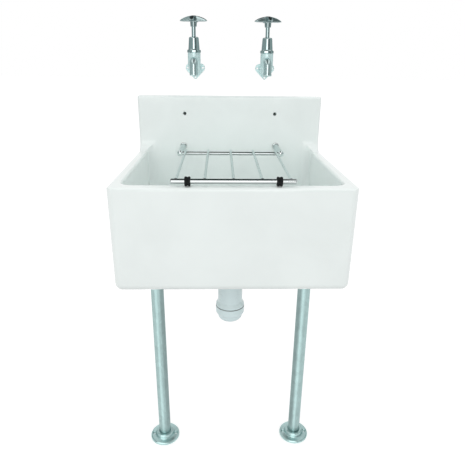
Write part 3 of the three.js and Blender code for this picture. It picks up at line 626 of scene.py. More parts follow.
def make_finishes():
    """A material of one shader for every finish, in the scene's colours."""
    own = bpy.context.scene.sink_colours
    for name, (_, shade) in FINISHES.items():
        material(name, lambda n: n.node("ShaderNodeBsdfPrincipled", sockets=shade(n, own)))


def turn_piece(node, finish, corners, at, axis=None, sides=SIDES, steps=6, sharp=32,
               radius_at=None):
    """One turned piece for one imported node."""
    grid = turned(corners, steps, sides, radius_at)
    if axis:
        grid = axis(grid)
    return dress(make(f"{node}_turned", grid, at, ring=corners[0][0] > 0), node, finish, sharp)


# ------------------------------------------------------------------ basin


class SINK_OT_basin(bpy.types.Operator):
    """Build the glazed fireclay basin with its raised back"""

    bl_idname = "sink.basin"
    bl_label = "Basin"
    bl_options = {"REGISTER", "UNDO"}

    def execute(self, context):
        """Side view carried across, cut to the plan with rounded corners, less bowl and holes."""
        s = sizes()
        front, back = -s.depth, -s.upstand_thickness
        blend, lip = 27.0, s.edge - 1

        def side_view(inset):
            corners = [
                (front + inset, UNDER_Z + inset), (-inset, UNDER_Z + inset, 3.5),
                (-inset, TOP_Z - inset, s.edge + 0.5 - inset),
                (back + inset, TOP_Z - inset, s.edge + 0.5 - inset),
                (back + inset, RIM_Z - inset, blend + inset),
                (front + inset, RIM_Z - inset, s.edge + 0.5 - inset),
            ]
            return rounded(corners, 10)

        turn = np.linspace(0, np.pi / 2, 9)
        reach = s.width / 2 - lip + lip * np.sin(turn)
        views = np.stack([side_view(lip * (1 - math.cos(angle))) for angle in turn])
        x = np.concatenate([-reach[::-1], reach])
        views = np.concatenate([views[::-1], views])
        across = np.broadcast_to(x[:, None, None], (*views.shape[:2], 1))
        basin = make("basin_glazed", np.concatenate([across, views], axis=-1))

        corner, base = 15.5, 15.0
        angles = np.linspace(0, np.pi / 2, 9)
        inset = base * (1 - np.sin(angles))
        height = UNDER_Z + base * (1 - np.cos(angles))
        half = s.width / 2 + 0.02
        rings = [plan_ring(half - i, front - 0.02 + i, 30, max(corner - i, 0.5), z)
                 for i, z in zip(inset, height)]
        rings.append(plan_ring(half, front - 0.02, 30, corner, TOP_Z + 5))
        carve(basin, make("plan", np.stack(rings)), way="INTERSECT")
        carve(basin, self.bowl(s, front, back, lip), *self.holes(s, back))
        dress(basin, "basin", "glazed fireclay", sharp=40)
        return {"FINISHED"}

    def bowl(self, s, front, back, lip):
        """Rings from the dished floor up its rounded edge and walls to past the rim's lip."""
        half, front = s.width / 2 - 20.5, front + 26
        floor, fall, bend = RIM_Z - s.bowl_depth, 5.0, 20.0
        waste = plan_ring(41, WASTE_Y - 41, WASTE_Y + 41, 41 - 1e-3, floor - fall)
        rest = plan_ring(half - bend, front + bend, back - bend, s.bowl_corner - bend, floor)
        rings = [waste + (rest - waste) * k for k in np.linspace(0, 1, 7)[:-1]]
        for angle in np.linspace(0, np.pi / 2, 10):
            inset = bend * (1 - math.sin(angle))
            z = floor + bend * (1 - math.cos(angle))
            rings.append(plan_ring(half - inset, front + inset, back - inset,
                                   s.bowl_corner - inset, z))
        for angle in np.linspace(0, np.pi / 2, 9):
            flare = lip * (1 - math.cos(angle))
            z = RIM_Z - lip * (1 - math.sin(angle))
            rings.append(plan_ring(half + flare, front - flare, back + 0.02,
                                   s.bowl_corner + flare, z))
        rings.append(plan_ring(half + lip, front - lip, back + 0.02, s.bowl_corner + lip,
                               RIM_Z + 33))
        return make("bowl", np.stack(rings))

    def holes(self, s, back):
        """Waste recess and hole, wall fixing holes, and bracket holes with their pockets."""
        floor = RIM_Z - s.bowl_depth
        tools = [make("waste_hole", turned([
            (0, UNDER_Z - 1), (25, UNDER_Z - 1), (25, -282.1), (38, -282.1), (38, floor + 1),
            (0, floor + 1)]), (0, WASTE_Y, 0))]
        for side, word in SIDES_OF:
            tools.append(make(f"fixing_{word}", along_y(turned([
                (0, back - 2), (5.6, back - 2), (5.6, back - 0.1), (4, back + 1.6), (4, 1), (0, 1),
            ], sides=48)), (side * WALL_HOLE_X, 0, 0)))
            tools.append(make(f"stud_{word}", along_y(turned([
                (0, back - 1), (4.5, back - 1), (4.5, -12), (13, -12), (13, 1), (0, 1),
            ], sides=48)), (side * EYE_X, 0, HINGE_Z)))
        return tools


# ------------------------------------------------------------------ waste and trap


class SINK_OT_waste(bpy.types.Operator):
    """Build the waste flange with its strainer, its seals and its back nut"""

    bl_idname = "sink.waste"
    bl_label = "Waste outlet"
    bl_options = {"REGISTER", "UNDO"}

    def execute(self, context):
        """Turned pieces about the waste's axis; the strainer's slots are cut."""
        at = (0, WASTE_Y, 0)
        flange = make("waste_flange_turned", turned([
            (0, -283), (20, -283), (20, -340), (23.5, -340, 0.5), (23.5, -280), (36, -280),
            (36, -277, 1.6), (24, -277, 1.2), (20, -280, 0.6), (0, -280),
        ]), at)
        slot = np.concatenate([
            plan_ring(3, 6.8, 17.2, 2.9, z, 6)[None] for z in (-285.0, -278.0)])
        tools = [make(f"slot_{i}", about_z(slot, -90 + 60 * i), at) for i in range(6)]
        carve(flange, *tools)
        dress(flange, "waste_flange", "polished steel", bevel=0.3)
        turn_piece("waste_top_seal", "black rubber", straight(23.8, 35, -281.8, -280.3, 0.4), at)
        turn_piece("waste_bottom_seal", "black rubber", straight(23.8, 31, -300, -296.3, 1.2), at)
        turn_piece("waste_back_nut", "grey plastic",
                   chamfered(23.8, 33, -308.3, -300.3, 1.4, 0.8), at, sides=160,
                   radius_at=prism_radius(8, 33))
        return {"FINISHED"}


class SINK_OT_trap(bpy.types.Operator):
    """Build the plastic bottle trap with its nuts and seals"""

    bl_idname = "sink.trap"
    bl_label = "Bottle trap"
    bl_options = {"REGISTER", "UNDO"}

    def execute(self, context):
        """Turned body with a side branch, cup, and two nuts with finger grooves."""
        s = sizes()
        at = (0, WASTE_Y, 0)
        outlet = (0, WASTE_Y, -378)
        self.body(s, at, outlet)
        turn_piece("trap_cup", "grey plastic", [
            (0, -473), (29.8, -473, 12.5), (29.8, -459, 1.4), (35, -452, 5), (35, CUP_Z, 1.4),
            (26.8, CUP_Z, 0.6), (26.8, -450.8), (23.8, -450.8), (23.8, -470, 9), (0, -470),
        ], at, sides=128, steps=10)
        turn_piece("trap_inlet_nut", "grey plastic", [
            (21.3, -348.9), (31, -348.9, 2.2), (31, -320, 2.2), (23.8, -320, 0.6),
            (23.8, -345.4), (21.3, -345.4),
        ], at, sides=192, radius_at=gripped(8, 1.4, 28, 0.28), sharp=45)
        turn_piece("trap_outlet_nut", "grey plastic", [
            (20.3, 46.5), (26, 46.5, 2), (26, 70.5, 2), (16, 70.5, 0.6), (16, 67), (20.3, 67),
        ], outlet, axis=along_y, sides=144, radius_at=gripped(6, 1.4, 23, 0.28), sharp=45)
        turn_piece("trap_inner_tube", "grey plastic", straight(18.5, 20.1, -456, -359.3), at)
        turn_piece("trap_inlet_seal", "black rubber",
                   straight(18.5, 23.3, -342.3, -340.3, 0.5), at)
        turn_piece("trap_cup_seal", "black rubber",
                   straight(24.2, 26.2, -450.5, -447.5, 0.5), at)
        turn_piece("trap_outlet_seal", "black rubber", straight(16, 20, 62.3, 66.7, 0.6), outlet,
                   axis=along_y)
        return {"FINISHED"}

    def body(self, s, at, outlet):
        """Neck, shoulder and flare in one outline, with the inner tube's recess."""
        body = make("trap_body_moulded", turned([
            (18.5, -342.6), (18.5, -359), (20.4, -359), (20.4, -364), (24.2, -364, 2),
            (24.2, -447.2), (26.2, -447.2, 0.5), (26.2, -434.7), (s.trap + 4.8, -434.7, 0.8),
            (s.trap + 4.8, -430, 3), (s.trap, -422, 6), (s.trap, -358, 6.5), (21, -358, 2.5),
            (21, -345.1), (23.3, -345.1), (23.3, -342.6, 0.5),
        ], 10, 128), at, ring=True)
        branch = make("branch", along_y(turned([(0, 21.3), (20, 21.3), (20, 62, 0.6), (0, 62)])),
                      outlet)
        bore = make("branch_bore", along_y(turned(straight(0, 17, 20.4, 63))), outlet)
        carve(body, branch, way="UNION")
        carve(body, bore)
        dress(body, "trap_body", "grey plastic")


# ------------------------------------------------------------------ grating


class SINK_OT_grating(bpy.types.Operator):
    """Build the bucket grating: two rails, its wires and two buffers"""

    bl_idname = "sink.grating"
    bl_label = "Bucket grating"
    bl_options = {"REGISTER", "UNDO"}

    def execute(self, context):
        """Rails turned along X; each wire is swept from the front rail over the back one."""
        s = sizes()
        # The rails' steel is darkened as painted shade.
        turn_piece("grating_front_rail", "rail steel with painted shade",
                   straight(0, s.front_rail, -113.5, 113.5, 1.2), (0, RAIL_Y, RAIL_Z),
                   axis=along_x, sides=64)
        turn_piece("grating_back_rail", "rail steel with painted shade",
                   straight(0, s.back_rail, -121.2, 121.2, 0.8), (0, HINGE_Y, HINGE_Z),
                   axis=along_x, sides=64)
        start = np.array([0, RAIL_Y + s.front_rail - 1.2, RAIL_Z + 1.45])
        over = np.array([0, HINGE_Y, HINGE_Z + s.back_rail + s.wire + 0.3])
        run = over - start
        reach = np.linalg.norm(run)
        way = np.concatenate([
            np.linspace(0, 6, 13), np.linspace(10, reach - 8, 8),
            np.linspace(reach - 6, reach + 2.6, 12), reach + 3.5 - 0.9 * np.cos(
                np.linspace(0.2, np.pi / 2, 6))])
        bead = 1.5 * np.exp(-(way / 2.2) ** 2)
        dome = np.sqrt(np.clip(1 - np.clip((way - reach - 2.6) / 0.9, 0, 1) ** 2, 0, 1))
        path = start + way[:, None] * run / reach
        radii = (s.wire + bead) * (0.35 + 0.65 * dome)
        for i in range(5):
            node = f"grating_wire_{i + 1}"
            grid = swept(path + ((i - 2) * 52.1, 0, 0), radii, 32)
            dress(make(f"{node}_drawn", grid), node, "polished steel")
        for side, word in SIDES_OF:
            turn_piece(f"grating_buffer_{word}", "black rubber", [
                (5, -5.3), (8.6, -5.3, 1.3), (8.6, -1.9, 0.9), (7.5, 0, 1.6), (8.6, 1.9, 0.9),
                (8.6, 5.3, 1.3), (5, 5.3),
            ], (side * 83, RAIL_Y, RAIL_Z), axis=along_x, sides=64)
        return {"FINISHED"}


class SINK_OT_brackets(bpy.types.Operator):
    """Build the two hinge brackets with their washers and nuts"""

    bl_idname = "sink.brackets"
    bl_label = "Hinge brackets"
    bl_options = {"REGISTER", "UNDO"}

    def execute(self, context):
        """Ball, arm, flange and stud in one outline turned along Y; the eye is bored."""
        s = sizes()
        neck, arm = 5.6, 6.2
        joint = math.sqrt(s.eye ** 2 - neck ** 2)
        turn = np.linspace(-np.pi / 2, math.atan2(joint, neck), 26)
        ball = s.eye * np.column_stack([np.cos(turn), np.sin(turn)])
        ball[0] = (0, -s.eye)
        outline = [*ball, (arm, 49, 30), (arm, 97.9, 1), (8, 97.9, 1), (8, 100.9),
                   (3.9, 100.9), (3.9, 122.5, 0.5), (0, 122.5)]
        for side, word in SIDES_OF:
            at = (side * EYE_X, HINGE_Y, HINGE_Z)
            bracket = make(f"hinge_bracket_{word}_turned", along_y(turned(outline, sides=72)), at)
            bore = turned(straight(0, 4.4, -9, 4), sides=64)
            carve(bracket, make("bore", along_x(bore) * (side, 1, 1), at))
            dress(bracket, f"hinge_bracket_{word}", "polished steel", bevel=0.35)
            wall = (side * EYE_X, 0, HINGE_Z)
            turn_piece(f"bracket_washer_{word}", "white fibre", [
                (4.5, -23.8), (9, -23.8, 0.5), (9, -22.3, 0.3), (4.5, -22.3)], wall, axis=along_y)
            turn_piece(f"bracket_steel_washer_{word}", "galvanised steel",
                       straight(4.5, 9, -11.7, -10.1, 0.3), wall, axis=along_y)
            turn_piece(f"bracket_nut_{word}", "galvanised steel",
                       chamfered(4.2, 7.6, -9.8, -3.3, 0.7), wall, axis=along_y, sides=120,
                       radius_at=prism_radius(6, 7.5))
        return {"FINISHED"}


# ------------------------------------------------------------------ legs


class SINK_OT_legs(bpy.types.Operator):
    """Build the two legs: pads, heads, tubes, feet and grub screws"""

    bl_idname = "sink.legs"
    bl_label = "Legs"
    bl_options = {"REGISTER", "UNDO"}

    def execute(self, context):
        """Turned pieces about each leg's axis; screw holes are cut."""
        s = sizes()
        for side, word in SIDES_OF:
            at = (side * LEG_X, LEG_Y, 0)
            turn_piece(f"leg_pad_{word}", "black rubber", straight(0, 30, -300.3, -296.3, 1), at)
            turn_piece(f"leg_tube_{word}", "galvanised steel",
                       straight(12.3, s.leg, -778.7, -307.2), at)
            self.head(s, word, at)
            self.foot(s, word, at)
        return {"FINISHED"}

    def head(self, s, word, at):
        """Flange and boss in one outline, with the screw's hole behind."""
        bore = s.leg + 0.3
        head = make(f"leg_head_{word}_cast", turned([
            (0, -306.6), (bore, -306.6), (bore, -350.6), (20, -350.6, 2.2), (20, -306.6, 5),
            (32, -306.6, 1.6), (32, -300.6, 1.6), (0, -300.6),
        ], 10), at)
        screw_at = (at[0], at[1], -335.93)
        hole = turned(straight(0, 3.3, 13, 21), sides=32)
        carve(head, make("screw_hole", along_y(hole), screw_at))
        dress(head, f"leg_head_{word}", "galvanised steel")
        shank = turned(chamfered(0, 3, 14.6, 23.6, 0.4), sides=48)
        screw = make(f"leg_grub_screw_{word}_turned", along_y(shank), screw_at)
        key = turned(straight(0, 1.9, 20.6, 25), sides=48, radius_at=prism_radius(6, 1.7))
        carve(screw, make("key", along_y(key), screw_at))
        dress(screw, f"leg_grub_screw_{word}", "galvanised steel")

    def foot(self, s, word, at):
        """Domed flange and collar in one outline, with two countersunk holes."""
        bore = s.leg + 0.3
        foot = make(f"leg_foot_{word}_cast", turned([
            (0, -782), (s.foot, -782, 0.6), (s.foot, -776, 3.4), (23.5, -775, 2.4),
            (21.5, -765, 2.5), (bore, -765, 0.8), (bore, -779), (0, -779),
        ], 10, 128), at)
        hole = turned([(0, -783), (3.2, -783), (3.2, -777.2), (6.4, -774), (0, -774)], sides=48)
        carve(foot, *[make(f"screw_hole_{way}", hole, (at[0] + way * 27, at[1], 0))
                      for way in (-1, 1)])
        dress(foot, f"leg_foot_{word}", "bright zinc", bevel=0.35)


# ------------------------------------------------------------------ taps


def spout_path(from_y, to_z):
    """Line forward, parabola round the bend (quadratic Bezier) and line down to the mouth."""
    start, corner = np.array([0, -57.0, 17.5]), np.array([0, -72.0, 17.5])
    end = np.array([0, -72.0, 2.5])
    t = np.linspace(0, 1, 22)[:, None]
    bend = (1 - t) ** 2 * start + 2 * t * (1 - t) * corner + t ** 2 * end
    ahead = np.linspace(from_y, -57.2, 8)
    down = np.linspace(2.3, to_z, 10)
    first = np.column_stack([0 * ahead, ahead, 0 * ahead + 17.5])
    last = np.column_stack([0 * down, 0 * down - 72, down])
    return np.vstack([first, bend, last])


class SINK_OT_tap_bodies(bpy.types.Operator):
    """Build the taps' wall plates and cast bodies with their spouts"""

    bl_idname = "sink.tap_bodies"
    bl_label = "Tap bodies"
    bl_options = {"REGISTER", "UNDO"}

    def execute(self, context):
        """Plate and body are joined from turned and swept solids."""
        s = sizes()
        for side, word in SIDES_OF:
            at = (side * TAP_X, 0, TAP_Z)
            self.plate(word, at)
            self.body(s, word, at)
        return {"FINISHED"}

    def plate(self, word, at):
        """Socket turned along the wall's normal, joined to a flange: a triangle whose corners
        are rounded about fixed centres, drawn in a little towards its front face."""
        def to_wall(grid):
            return grid[..., [0, 2, 1]] * (1, -1, 1)

        plate = make(f"{word}_wall_plate_cast", to_wall(turned([
            (7.5, 0), (14.5, 0), (14.5, 20, 1.5), (10.8, 20, 0.5), (10.8, 3.5), (7.5, 3.5),
        ])), at, ring=True)
        corners = ((36.95, 12.9, 13.2, 2.9, 10), (-36.95, 12.9, -13.2, 2.9, 10),
                   (0, -24.9, 0, -20.3, 3.2))
        rings = []
        for inset, z in ((0.0, 0), (0.0, 2.4), (0.25, 3.1), (0.9, 3.5)):
            outline = rounded([(cx + (x - cx) * (r - inset) / r, cy + (y - cy) * (r - inset) / r,
                                r - inset) for x, y, cx, cy, r in corners], 16)
            rings.append(np.column_stack([outline, np.full(len(outline), z)]))
        carve(plate, make("flange", to_wall(np.stack(rings)), at), way="UNION")
        for x, y in ((-18.3, 3), (18.3, 3), (0, -19)):
            hole = turned([(0, -1), (2.2, -1), (2.2, 2.6), (3.4, 4.2), (0, 4.2)], sides=40)
            carve(plate, make("screw_hole", to_wall(hole + (x, y, 0)), at))
        carve(plate, make("supply_hole", to_wall(turned(straight(0, 7.5, -1, 4))), at))
        carve(plate, make("socket_bore", to_wall(turned(straight(0, 10.8, 3.5, 21))), at))
        dress(plate, f"{word}_wall_plate", "satin chrome", sharp=38)

    def body(self, s, word, at):
        """Barrel, inlet and spout in one casting: joined, remeshed and smoothed at the joins."""
        axis = (at[0], -TAP_REACH, at[2])
        body = make(f"{word}_tap_body_cast", turned([
            (0, -13), (9, -13, 3), (s.barrel, 6, 8), (s.barrel, 35.5, 0.4), (0, 35.5)], 8), axis)
        inlet = make("inlet", along_y(turned([
            (0, -45), (12.5, -45), (12.5, -20.3, 0.6), (10.5, -20.3), (10.5, -6, 0.5), (0, -6)])),
            at)
        path = spout_path(-47, -14)
        band = np.clip(1 - np.abs(path[:, 2] + 10.6) / 3.4, 0, 1) * (path[:, 1] < -71)
        spout = make("spout", swept(path, s.spout - 0.6 + 0.6 * np.minimum(1, 3 * band), 64), at)
        carve(body, inlet, spout, way="UNION")
        bores = [
            make("chamber", turned([(0, 0), (5.5, 0), (5.5, 10), (10.5, 10), (10.5, 37), (0, 37)]),
                 axis),
            make("supply", along_y(turned(straight(0, 6, -45, -5))), at),
            make("waterway", swept(spout_path(-51, -15), 7.0, 48), at),
        ]
        carve(body, *bores)
        even = body.modifiers.new("even", "REMESH")
        even.mode, even.voxel_size = "VOXEL", 0.55 * MM
        soft = body.modifiers.new("soft joins", "SMOOTH")
        soft.factor, soft.iterations = 0.5, 5
        applied(body)
        dress(body, f"{word}_tap_body", "satin chrome", sharp=60)


class SINK_OT_headgear(bpy.types.Operator):
    """Build the taps' headgear, bonnet covers, spindles, jumpers and washers"""

    bl_idname = "sink.headgear"
    bl_label = "Headgear"
    bl_options = {"REGISTER", "UNDO"}

    def execute(self, context):
        """Turned pieces about the spindle's axis; nuts are cut by their flat faces."""
        hexagon = prism_radius(6, 15.6, 0)

        def with_hexagon(r, z, t):
            """Between the nut's two ends, half way from the circle to the hexagon."""
            circle = r + 0 * t
            return np.where((z > 35.6) & (z < 42.9), (hexagon(r, z, t) + circle) / 2, circle)

        for side, word in SIDES_OF:
            at = (side * TAP_X, -TAP_REACH, TAP_Z)
            turn_piece(f"{word}_headgear", "bright chrome", [
                (7.3, 23), (10.2, 23, 0.6), (10.2, 35.7), (14.1, 35.7), (15.7, 36.7),
                (15.7, 41.2, 1), (13.8, 42.8, 0.6), (8.8, 42.8), (8.8, 61, 0.6), (4.95, 61),
                (4.95, 34.9), (7.3, 34.9),
            ], at, sides=192, radius_at=with_hexagon, sharp=24)
            turn_piece(f"{word}_gland_nut", "brass", chamfered(4.95, 8.1, 61.3, 65.8, 0.6), at,
                       sides=120, radius_at=prism_radius(6, 8))
            turn_piece(f"{word}_bonnet_cover", "bright chrome", [
                (5.25, 68.5), (9.8, 68.5, 2), (11.8, 43.1), (13, 43.1, 0.9), (12.75, 46.2, 0.8),
                (11, 69.7, 3.2), (5.25, 69.7, 0.5),
            ], at, sides=128, steps=10)
            turn_piece(f"{word}_spindle", "bright chrome", [
                (0, 17.1), (7, 17.1, 0.8), (7, 28.1, 0.8), (4.65, 28.1), (4.65, 108.8, 0.5),
                (0, 108.8)], at, sides=64)
            turn_piece(f"{word}_jumper", "brass", [
                (0, 14.2), (7.5, 14.2, 0.5), (7.5, 16.8, 0.5), (2.8, 16.8), (2.8, 27.8, 0.6),
                (0, 27.8)], at, sides=64)
            turn_piece(f"{word}_tap_washer", "black rubber",
                       straight(0, 7.5, 10.3, 13.9, 0.5), at, sides=64)
        return {"FINISHED"}


class SINK_OT_handles(bpy.types.Operator):
    """Build the taps' cross handles and their caps"""

    bl_idname = "sink.handles"
    bl_label = "Handles"
    bl_options = {"REGISTER", "UNDO"}

    def execute(self, context):
        """Each handle is one closed skin over the outline of its cross."""
        s = sizes()
        for side, word in SIDES_OF:
            at = (side * TAP_X, -TAP_REACH, TAP_Z + 102)
            grid = about_z(self.cross(s), side * 8)
            # The handles' chrome is darkened as painted shade.
            dress(make(f"{word}_handle_cast", grid, at), f"{word}_handle", "handle chrome with painted shade")
            turn_piece(f"{word}_handle_cap", "bright chrome", [
                (0, 1.4), (2.2, 1.4, 0.5), (2.2, 10.4), (5.5, 10.4, 0.2), (5.5, 10.9, 0.3),
                (2.75, 12, 4), (0, 12),
            ], at, sides=64)
        return {"FINISHED"}

    def cross(self, s):
        """Skin of the cross, from the bore of the hub under it over the arms to the cap's seat.

        In direction t the arms reach R(t), a fourfold mix of straight sides and round ends.
        Rows lie at a share u of R(t) beyond a circle inside it, and the upper one has the
        dome's height there, lowered towards the edge as sqrt(1 - u^6).
        """
        t = np.linspace(0, 2 * np.pi, 288, endpoint=False)
        quarter = (t + np.pi / 4) % (np.pi / 2) - np.pi / 4
        a = np.abs(quarter)
        straight = s.arm / np.maximum(np.sin(a), 1e-6)
        centre = s.handle - s.arm
        inside = np.clip(s.arm ** 2 - (centre * np.sin(a)) ** 2, 0, None)
        end = centre * np.cos(a) + np.sqrt(inside)
        at_end = (centre * np.sin(a) < s.arm) & (straight * np.cos(a) > centre)
        tip = np.where(at_end, end, straight)
        web = 9.6 - 0.6 * np.cos(4 * t)
        outline = np.maximum(tip, web)
        core = 7.6

        def row(u, z):
            r = core + u * (outline - core)
            height = z(r) if callable(z) else np.full_like(r, z)
            return np.column_stack([r * np.cos(t), r * np.sin(t), height])

        def circle(r, z):
            return np.column_stack([r * np.cos(t), r * np.sin(t), np.full_like(t, z)])

        def dome(r):
            x = np.clip(r / s.handle, 0, 1)
            return 3.6 + 8.2 * np.cos(np.pi * x / 2) ** 0.9

        middle = 1.7
        rows = [circle(4.95, 6.9), circle(4.95, -10.8), circle(6.2, -10.8), circle(6.75, -10.5),
                circle(6.95, -10.0), circle(7.25, -6), circle(7.6, -1.6), circle(7.9, -0.3)]
        for u in np.sin(np.linspace(0.14, 1, 14) * np.pi / 2):
            rows.append(row(u, middle - middle * (1 - u ** 8) ** 0.5 if u < 1 else middle))
        for u in np.sin(np.linspace(1, 0.0, 22) * np.pi / 2):
            fall = max(0.0, 1 - u ** 6) ** 0.5
            rows.append(row(u, lambda r, fall=fall: middle + (dome(r) - middle) * fall))
        rows += [circle(6.3, 11.85), circle(5.95, 11.6), circle(5.8, 11.3), circle(5.8, 10.1),
                 circle(2.5, 10.1), circle(2.5, 7.1)]
        return np.stack(rows)


# ------------------------------------------------------------------ stage


class SINK_OT_stage(bpy.types.Operator):
    """Set the floor, the soft light, the world and the camera"""

    bl_idname = "sink.stage"
    bl_label = "Stage"
    bl_options = {"REGISTER", "UNDO"}

    def execute(self, context):
        """Floor under the feet, daylight, a lamp above the camera, and what the metal mirrors."""
        own = bpy.context.scene.sink_colours
        self.floor(own)
        self.world(own)
        self.lamp("softbox", 2.0, own.softbox, (-0.25, -2.8, 0.75), (0, -0.2, -0.1))
        self.flags()
        self.cards()
        self.hole_shade_discs()
        self.camera()
        bpy.context.scene.view_settings.view_transform = "Standard"
        return {"FINISHED"}

    def floor(self, own):
        """A wide plate whose top is the floor; it shows white and keeps the shadow."""
        edge = 30000.0
        square = np.array([(-edge, -edge), (edge, -edge), (edge, edge), (-edge, edge)])
        rows = [np.column_stack([square, np.full(4, z)]) for z in (FLOOR_Z - 10, FLOOR_Z)]
        floor = make("studio_floor", np.stack(rows))

        def surface(n):
            paint = n.node("ShaderNodeBsdfDiffuse", sockets={"Color": tone(own.floor)})
            glow = n.node("ShaderNodeEmission", sockets={"Color": (1, 1, 1, 1), "Strength": 0.58})
            seen = n.either("Is Camera Ray", "Is Glossy Ray", "Is Transmission Ray")
            both = n.node("ShaderNodeAddShader", sockets={0: paint, 1: glow})
            return n.node("ShaderNodeMixShader", sockets={0: seen, 1: paint, 2: both})

        floor.data.materials.append(material("studio floor", surface))

    def world(self, own):
        """White where it is seen or mirrored, and daylight where it lights."""
        world = bpy.data.worlds.new("studio")
        world.use_nodes = True
        n = Nodes(world.node_tree)
        seen = n.either("Is Camera Ray", "Is Glossy Ray", "Is Transmission Ray")
        white = n.node("ShaderNodeBackground", sockets={"Color": (1, 1, 1, 1), "Strength": 1.0})
        light = n.node("ShaderNodeBackground", sockets={
            "Color": (1, 1, 1, 1), "Strength": own.daylight})
        surface = n.node("ShaderNodeMixShader", sockets={0: seen, 1: light, 2: white})
        n.node("ShaderNodeOutputWorld", sockets={"Surface": surface})
        bpy.context.scene.world = world

    def lamp(self, name, size, power, place, target):
        """A square lamp that faces a point, with its size and places in metres."""
        light = bpy.data.lights.new(name, "AREA")
        light.shape, light.size, light.energy = "SQUARE", size, power
        lamp = bpy.data.objects.new(name, light)
        lamp.location = place
        lamp.rotation_euler = (Vector(place) - Vector(target)).to_track_quat("Z", "Y").to_euler()
        bpy.context.scene.collection.objects.link(lamp)

    def mirrored_only(self, name, grid, strength, grey):
        """A sheet of the stage that only mirrored rays meet, dark or glowing."""
        colour_of = (grey * (0.86 if grey < 0.5 else 1.0), grey, grey, 1)
        sheet = make(name, grid)
        sheet.data.materials.append(material(name, lambda n: n.node(
            "ShaderNodeEmission", sockets={"Color": colour_of, "Strength": strength})))
        sheet.visible_camera = sheet.visible_diffuse = sheet.visible_shadow = False

    def flags(self):
        """Dark sheets that polished surfaces mirror: upright ones along an arc, and one above."""
        away = 2600.0
        for side, word, start, end, grey in (
                (-1, "left", 20, 150, 0.40), (1, "right", 13, 62, 0.18),
                (1, "far_right", 62, 150, 0.42)):
            turn = np.radians(np.linspace(start, end, 24))
            spot = np.column_stack([side * away * np.sin(turn), WASTE_Y - away * np.cos(turn)])
            rows = [np.column_stack([spot, np.full(24, z)]) for z in (-500.0, 2600.0)]
            self.mirrored_only(f"flag_{word}", np.stack([
                np.vstack([row, (row + (side * 8, 0, 0))[::-1]]) for row in rows]), 1.0, grey)
        above = np.array([(-220.0, -1000.0), (220, -1000), (430, 1500), (-430, 1500)])
        self.mirrored_only("flag_above", np.stack([
            np.column_stack([above, np.full(4, z)]) for z in (900.0, 904.0)]), 1.0, 0.06)

    def cards(self):
        """Upright arcs round each leg, whose reflections are the streaks down its tube."""
        near = 46.0  # leg's axis to its arcs
        for side, word in SIDES_OF:
            axis = np.array([side * LEG_X, LEG_Y])
            to_camera = np.degrees(np.arctan2(*(CAMERA[:2] - axis)))
            bright = (8, 46) if side < 0 else (-18, 18)
            for kind, (first, last), strength, grey in (
                    ("bright", bright, 1.65, 1.0), ("dark", (-36, -130), 1.0, 0.70)):
                turn = np.radians(to_camera - side * np.linspace(first, last, 16))
                arc = np.column_stack([np.sin(turn), np.cos(turn)])
                edge = np.vstack([axis + near * arc, (axis + (near + 1) * arc)[::-1]])
                self.mirrored_only(f"card_{kind}_{word}", np.stack([
                    np.column_stack([edge, np.full(len(edge), z)])
                    for z in (FLOOR_Z + 1, UNDER_Z - 16)]), strength, grey)

    def hole_shade_discs(self):
        """Small discs of wall behind the two fixing holes, painted dark grey as the shade inside
        the holes.
        """
        # Their dark grey is painted shade: the depth of the holes in shadow.
        paint = material("painted hole shade", lambda n: n.node(
            "ShaderNodeBsdfDiffuse", sockets={"Color": (0.24, 0.28, 0.28, 1)}))
        for side, word in SIDES_OF:
            spot = make(f"hole_shade_disc_{word}", along_y(turned(straight(0, 5, 0.1, 0.6))),
                        (side * WALL_HOLE_X, 0, 0))
            spot.data.materials.append(paint)

    def camera(self):
        """The photograph's view: turned by b about Z, pitched by a, rolled by c."""
        a, b, c = np.radians([PITCH, YAW, ROLL])
        ahead = np.array([np.sin(b) * np.cos(a), np.cos(b) * np.cos(a), -np.sin(a)])
        right = np.array([np.cos(b), -np.sin(b), 0])
        up = np.cross(right, ahead)
        side, top = np.cos(c) * right + np.sin(c) * up, np.cos(c) * up - np.sin(c) * right
        pose = np.eye(4)
        pose[:3, :3] = np.column_stack([side, top, -ahead])
        pose[:3, 3] = CAMERA * MM
        data = bpy.data.cameras.new("view")
        data.sensor_fit, data.sensor_width, data.lens = "HORIZONTAL", 36, 34.081
        data.clip_start, data.clip_end = 0.02, 100
        view = bpy.data.objects.new("view", data)
        view.matrix_world = Matrix(pose.tolist())
        bpy.context.scene.collection.objects.link(view)
        bpy.context.scene.camera = view


# ------------------------------------------------------------------ panel and script

STEPS = (SINK_OT_basin, SINK_OT_waste, SINK_OT_trap, SINK_OT_grating, SINK_OT_brackets,
         SINK_OT_legs, SINK_OT_tap_bodies, SINK_OT_headgear, SINK_OT_handles, SINK_OT_stage)


class SINK_PT_panel(bpy.types.Panel):
    """Lists the sink's sizes, colours and steps"""

    bl_idname = "SINK_PT_panel"
    bl_label = "Utility Sink"
    bl_space_type = "VIEW_3D"
    bl_region_type = "UI"
    bl_category = "Utility Sink"

    def draw(self, context):
        """Draws every property, then a button for each step."""
        for group in (context.scene.sink_sizes, context.scene.sink_colours):
            column = self.layout.box().column(align=True)
            for name in type(group).__annotations__:
                column.prop(group, name)
        column = self.layout.column(align=True)
        for step in STEPS:
            column.operator(step.bl_idname)


CLASSES = (SinkSizes, SinkColours, *STEPS, SINK_PT_panel)


def register():
    """Registers the classes and gives the scene its sizes and colours."""
    for cls in CLASSES:
        bpy.utils.register_class(cls)
    bpy.types.Scene.sink_sizes = bpy.props.PointerProperty(type=SinkSizes)
    bpy.types.Scene.sink_colours = bpy.props.PointerProperty(type=SinkColours)


def unregister():
    """Takes back what register did."""
    del bpy.types.Scene.sink_colours
    del bpy.types.Scene.sink_sizes
    for cls in reversed(CLASSES):
        bpy.utils.unregister_class(cls)


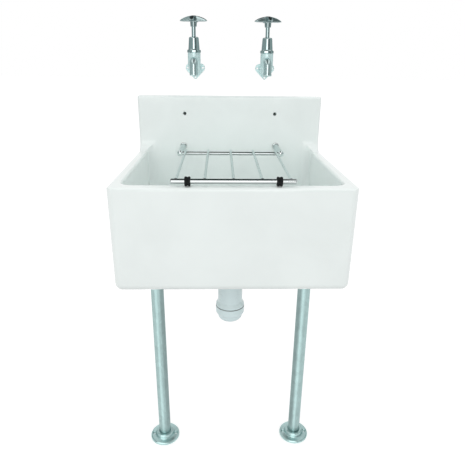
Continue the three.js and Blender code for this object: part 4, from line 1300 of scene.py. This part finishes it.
def main():
    register()
    make_finishes()
    for step in STEPS:
        operator = getattr(bpy.ops.sink, step.bl_idname.split(".")[1])
        if operator() != {"FINISHED"}:
            raise RuntimeError(f"{step.bl_idname} did not finish")


if __name__ == "__main__":
    main()
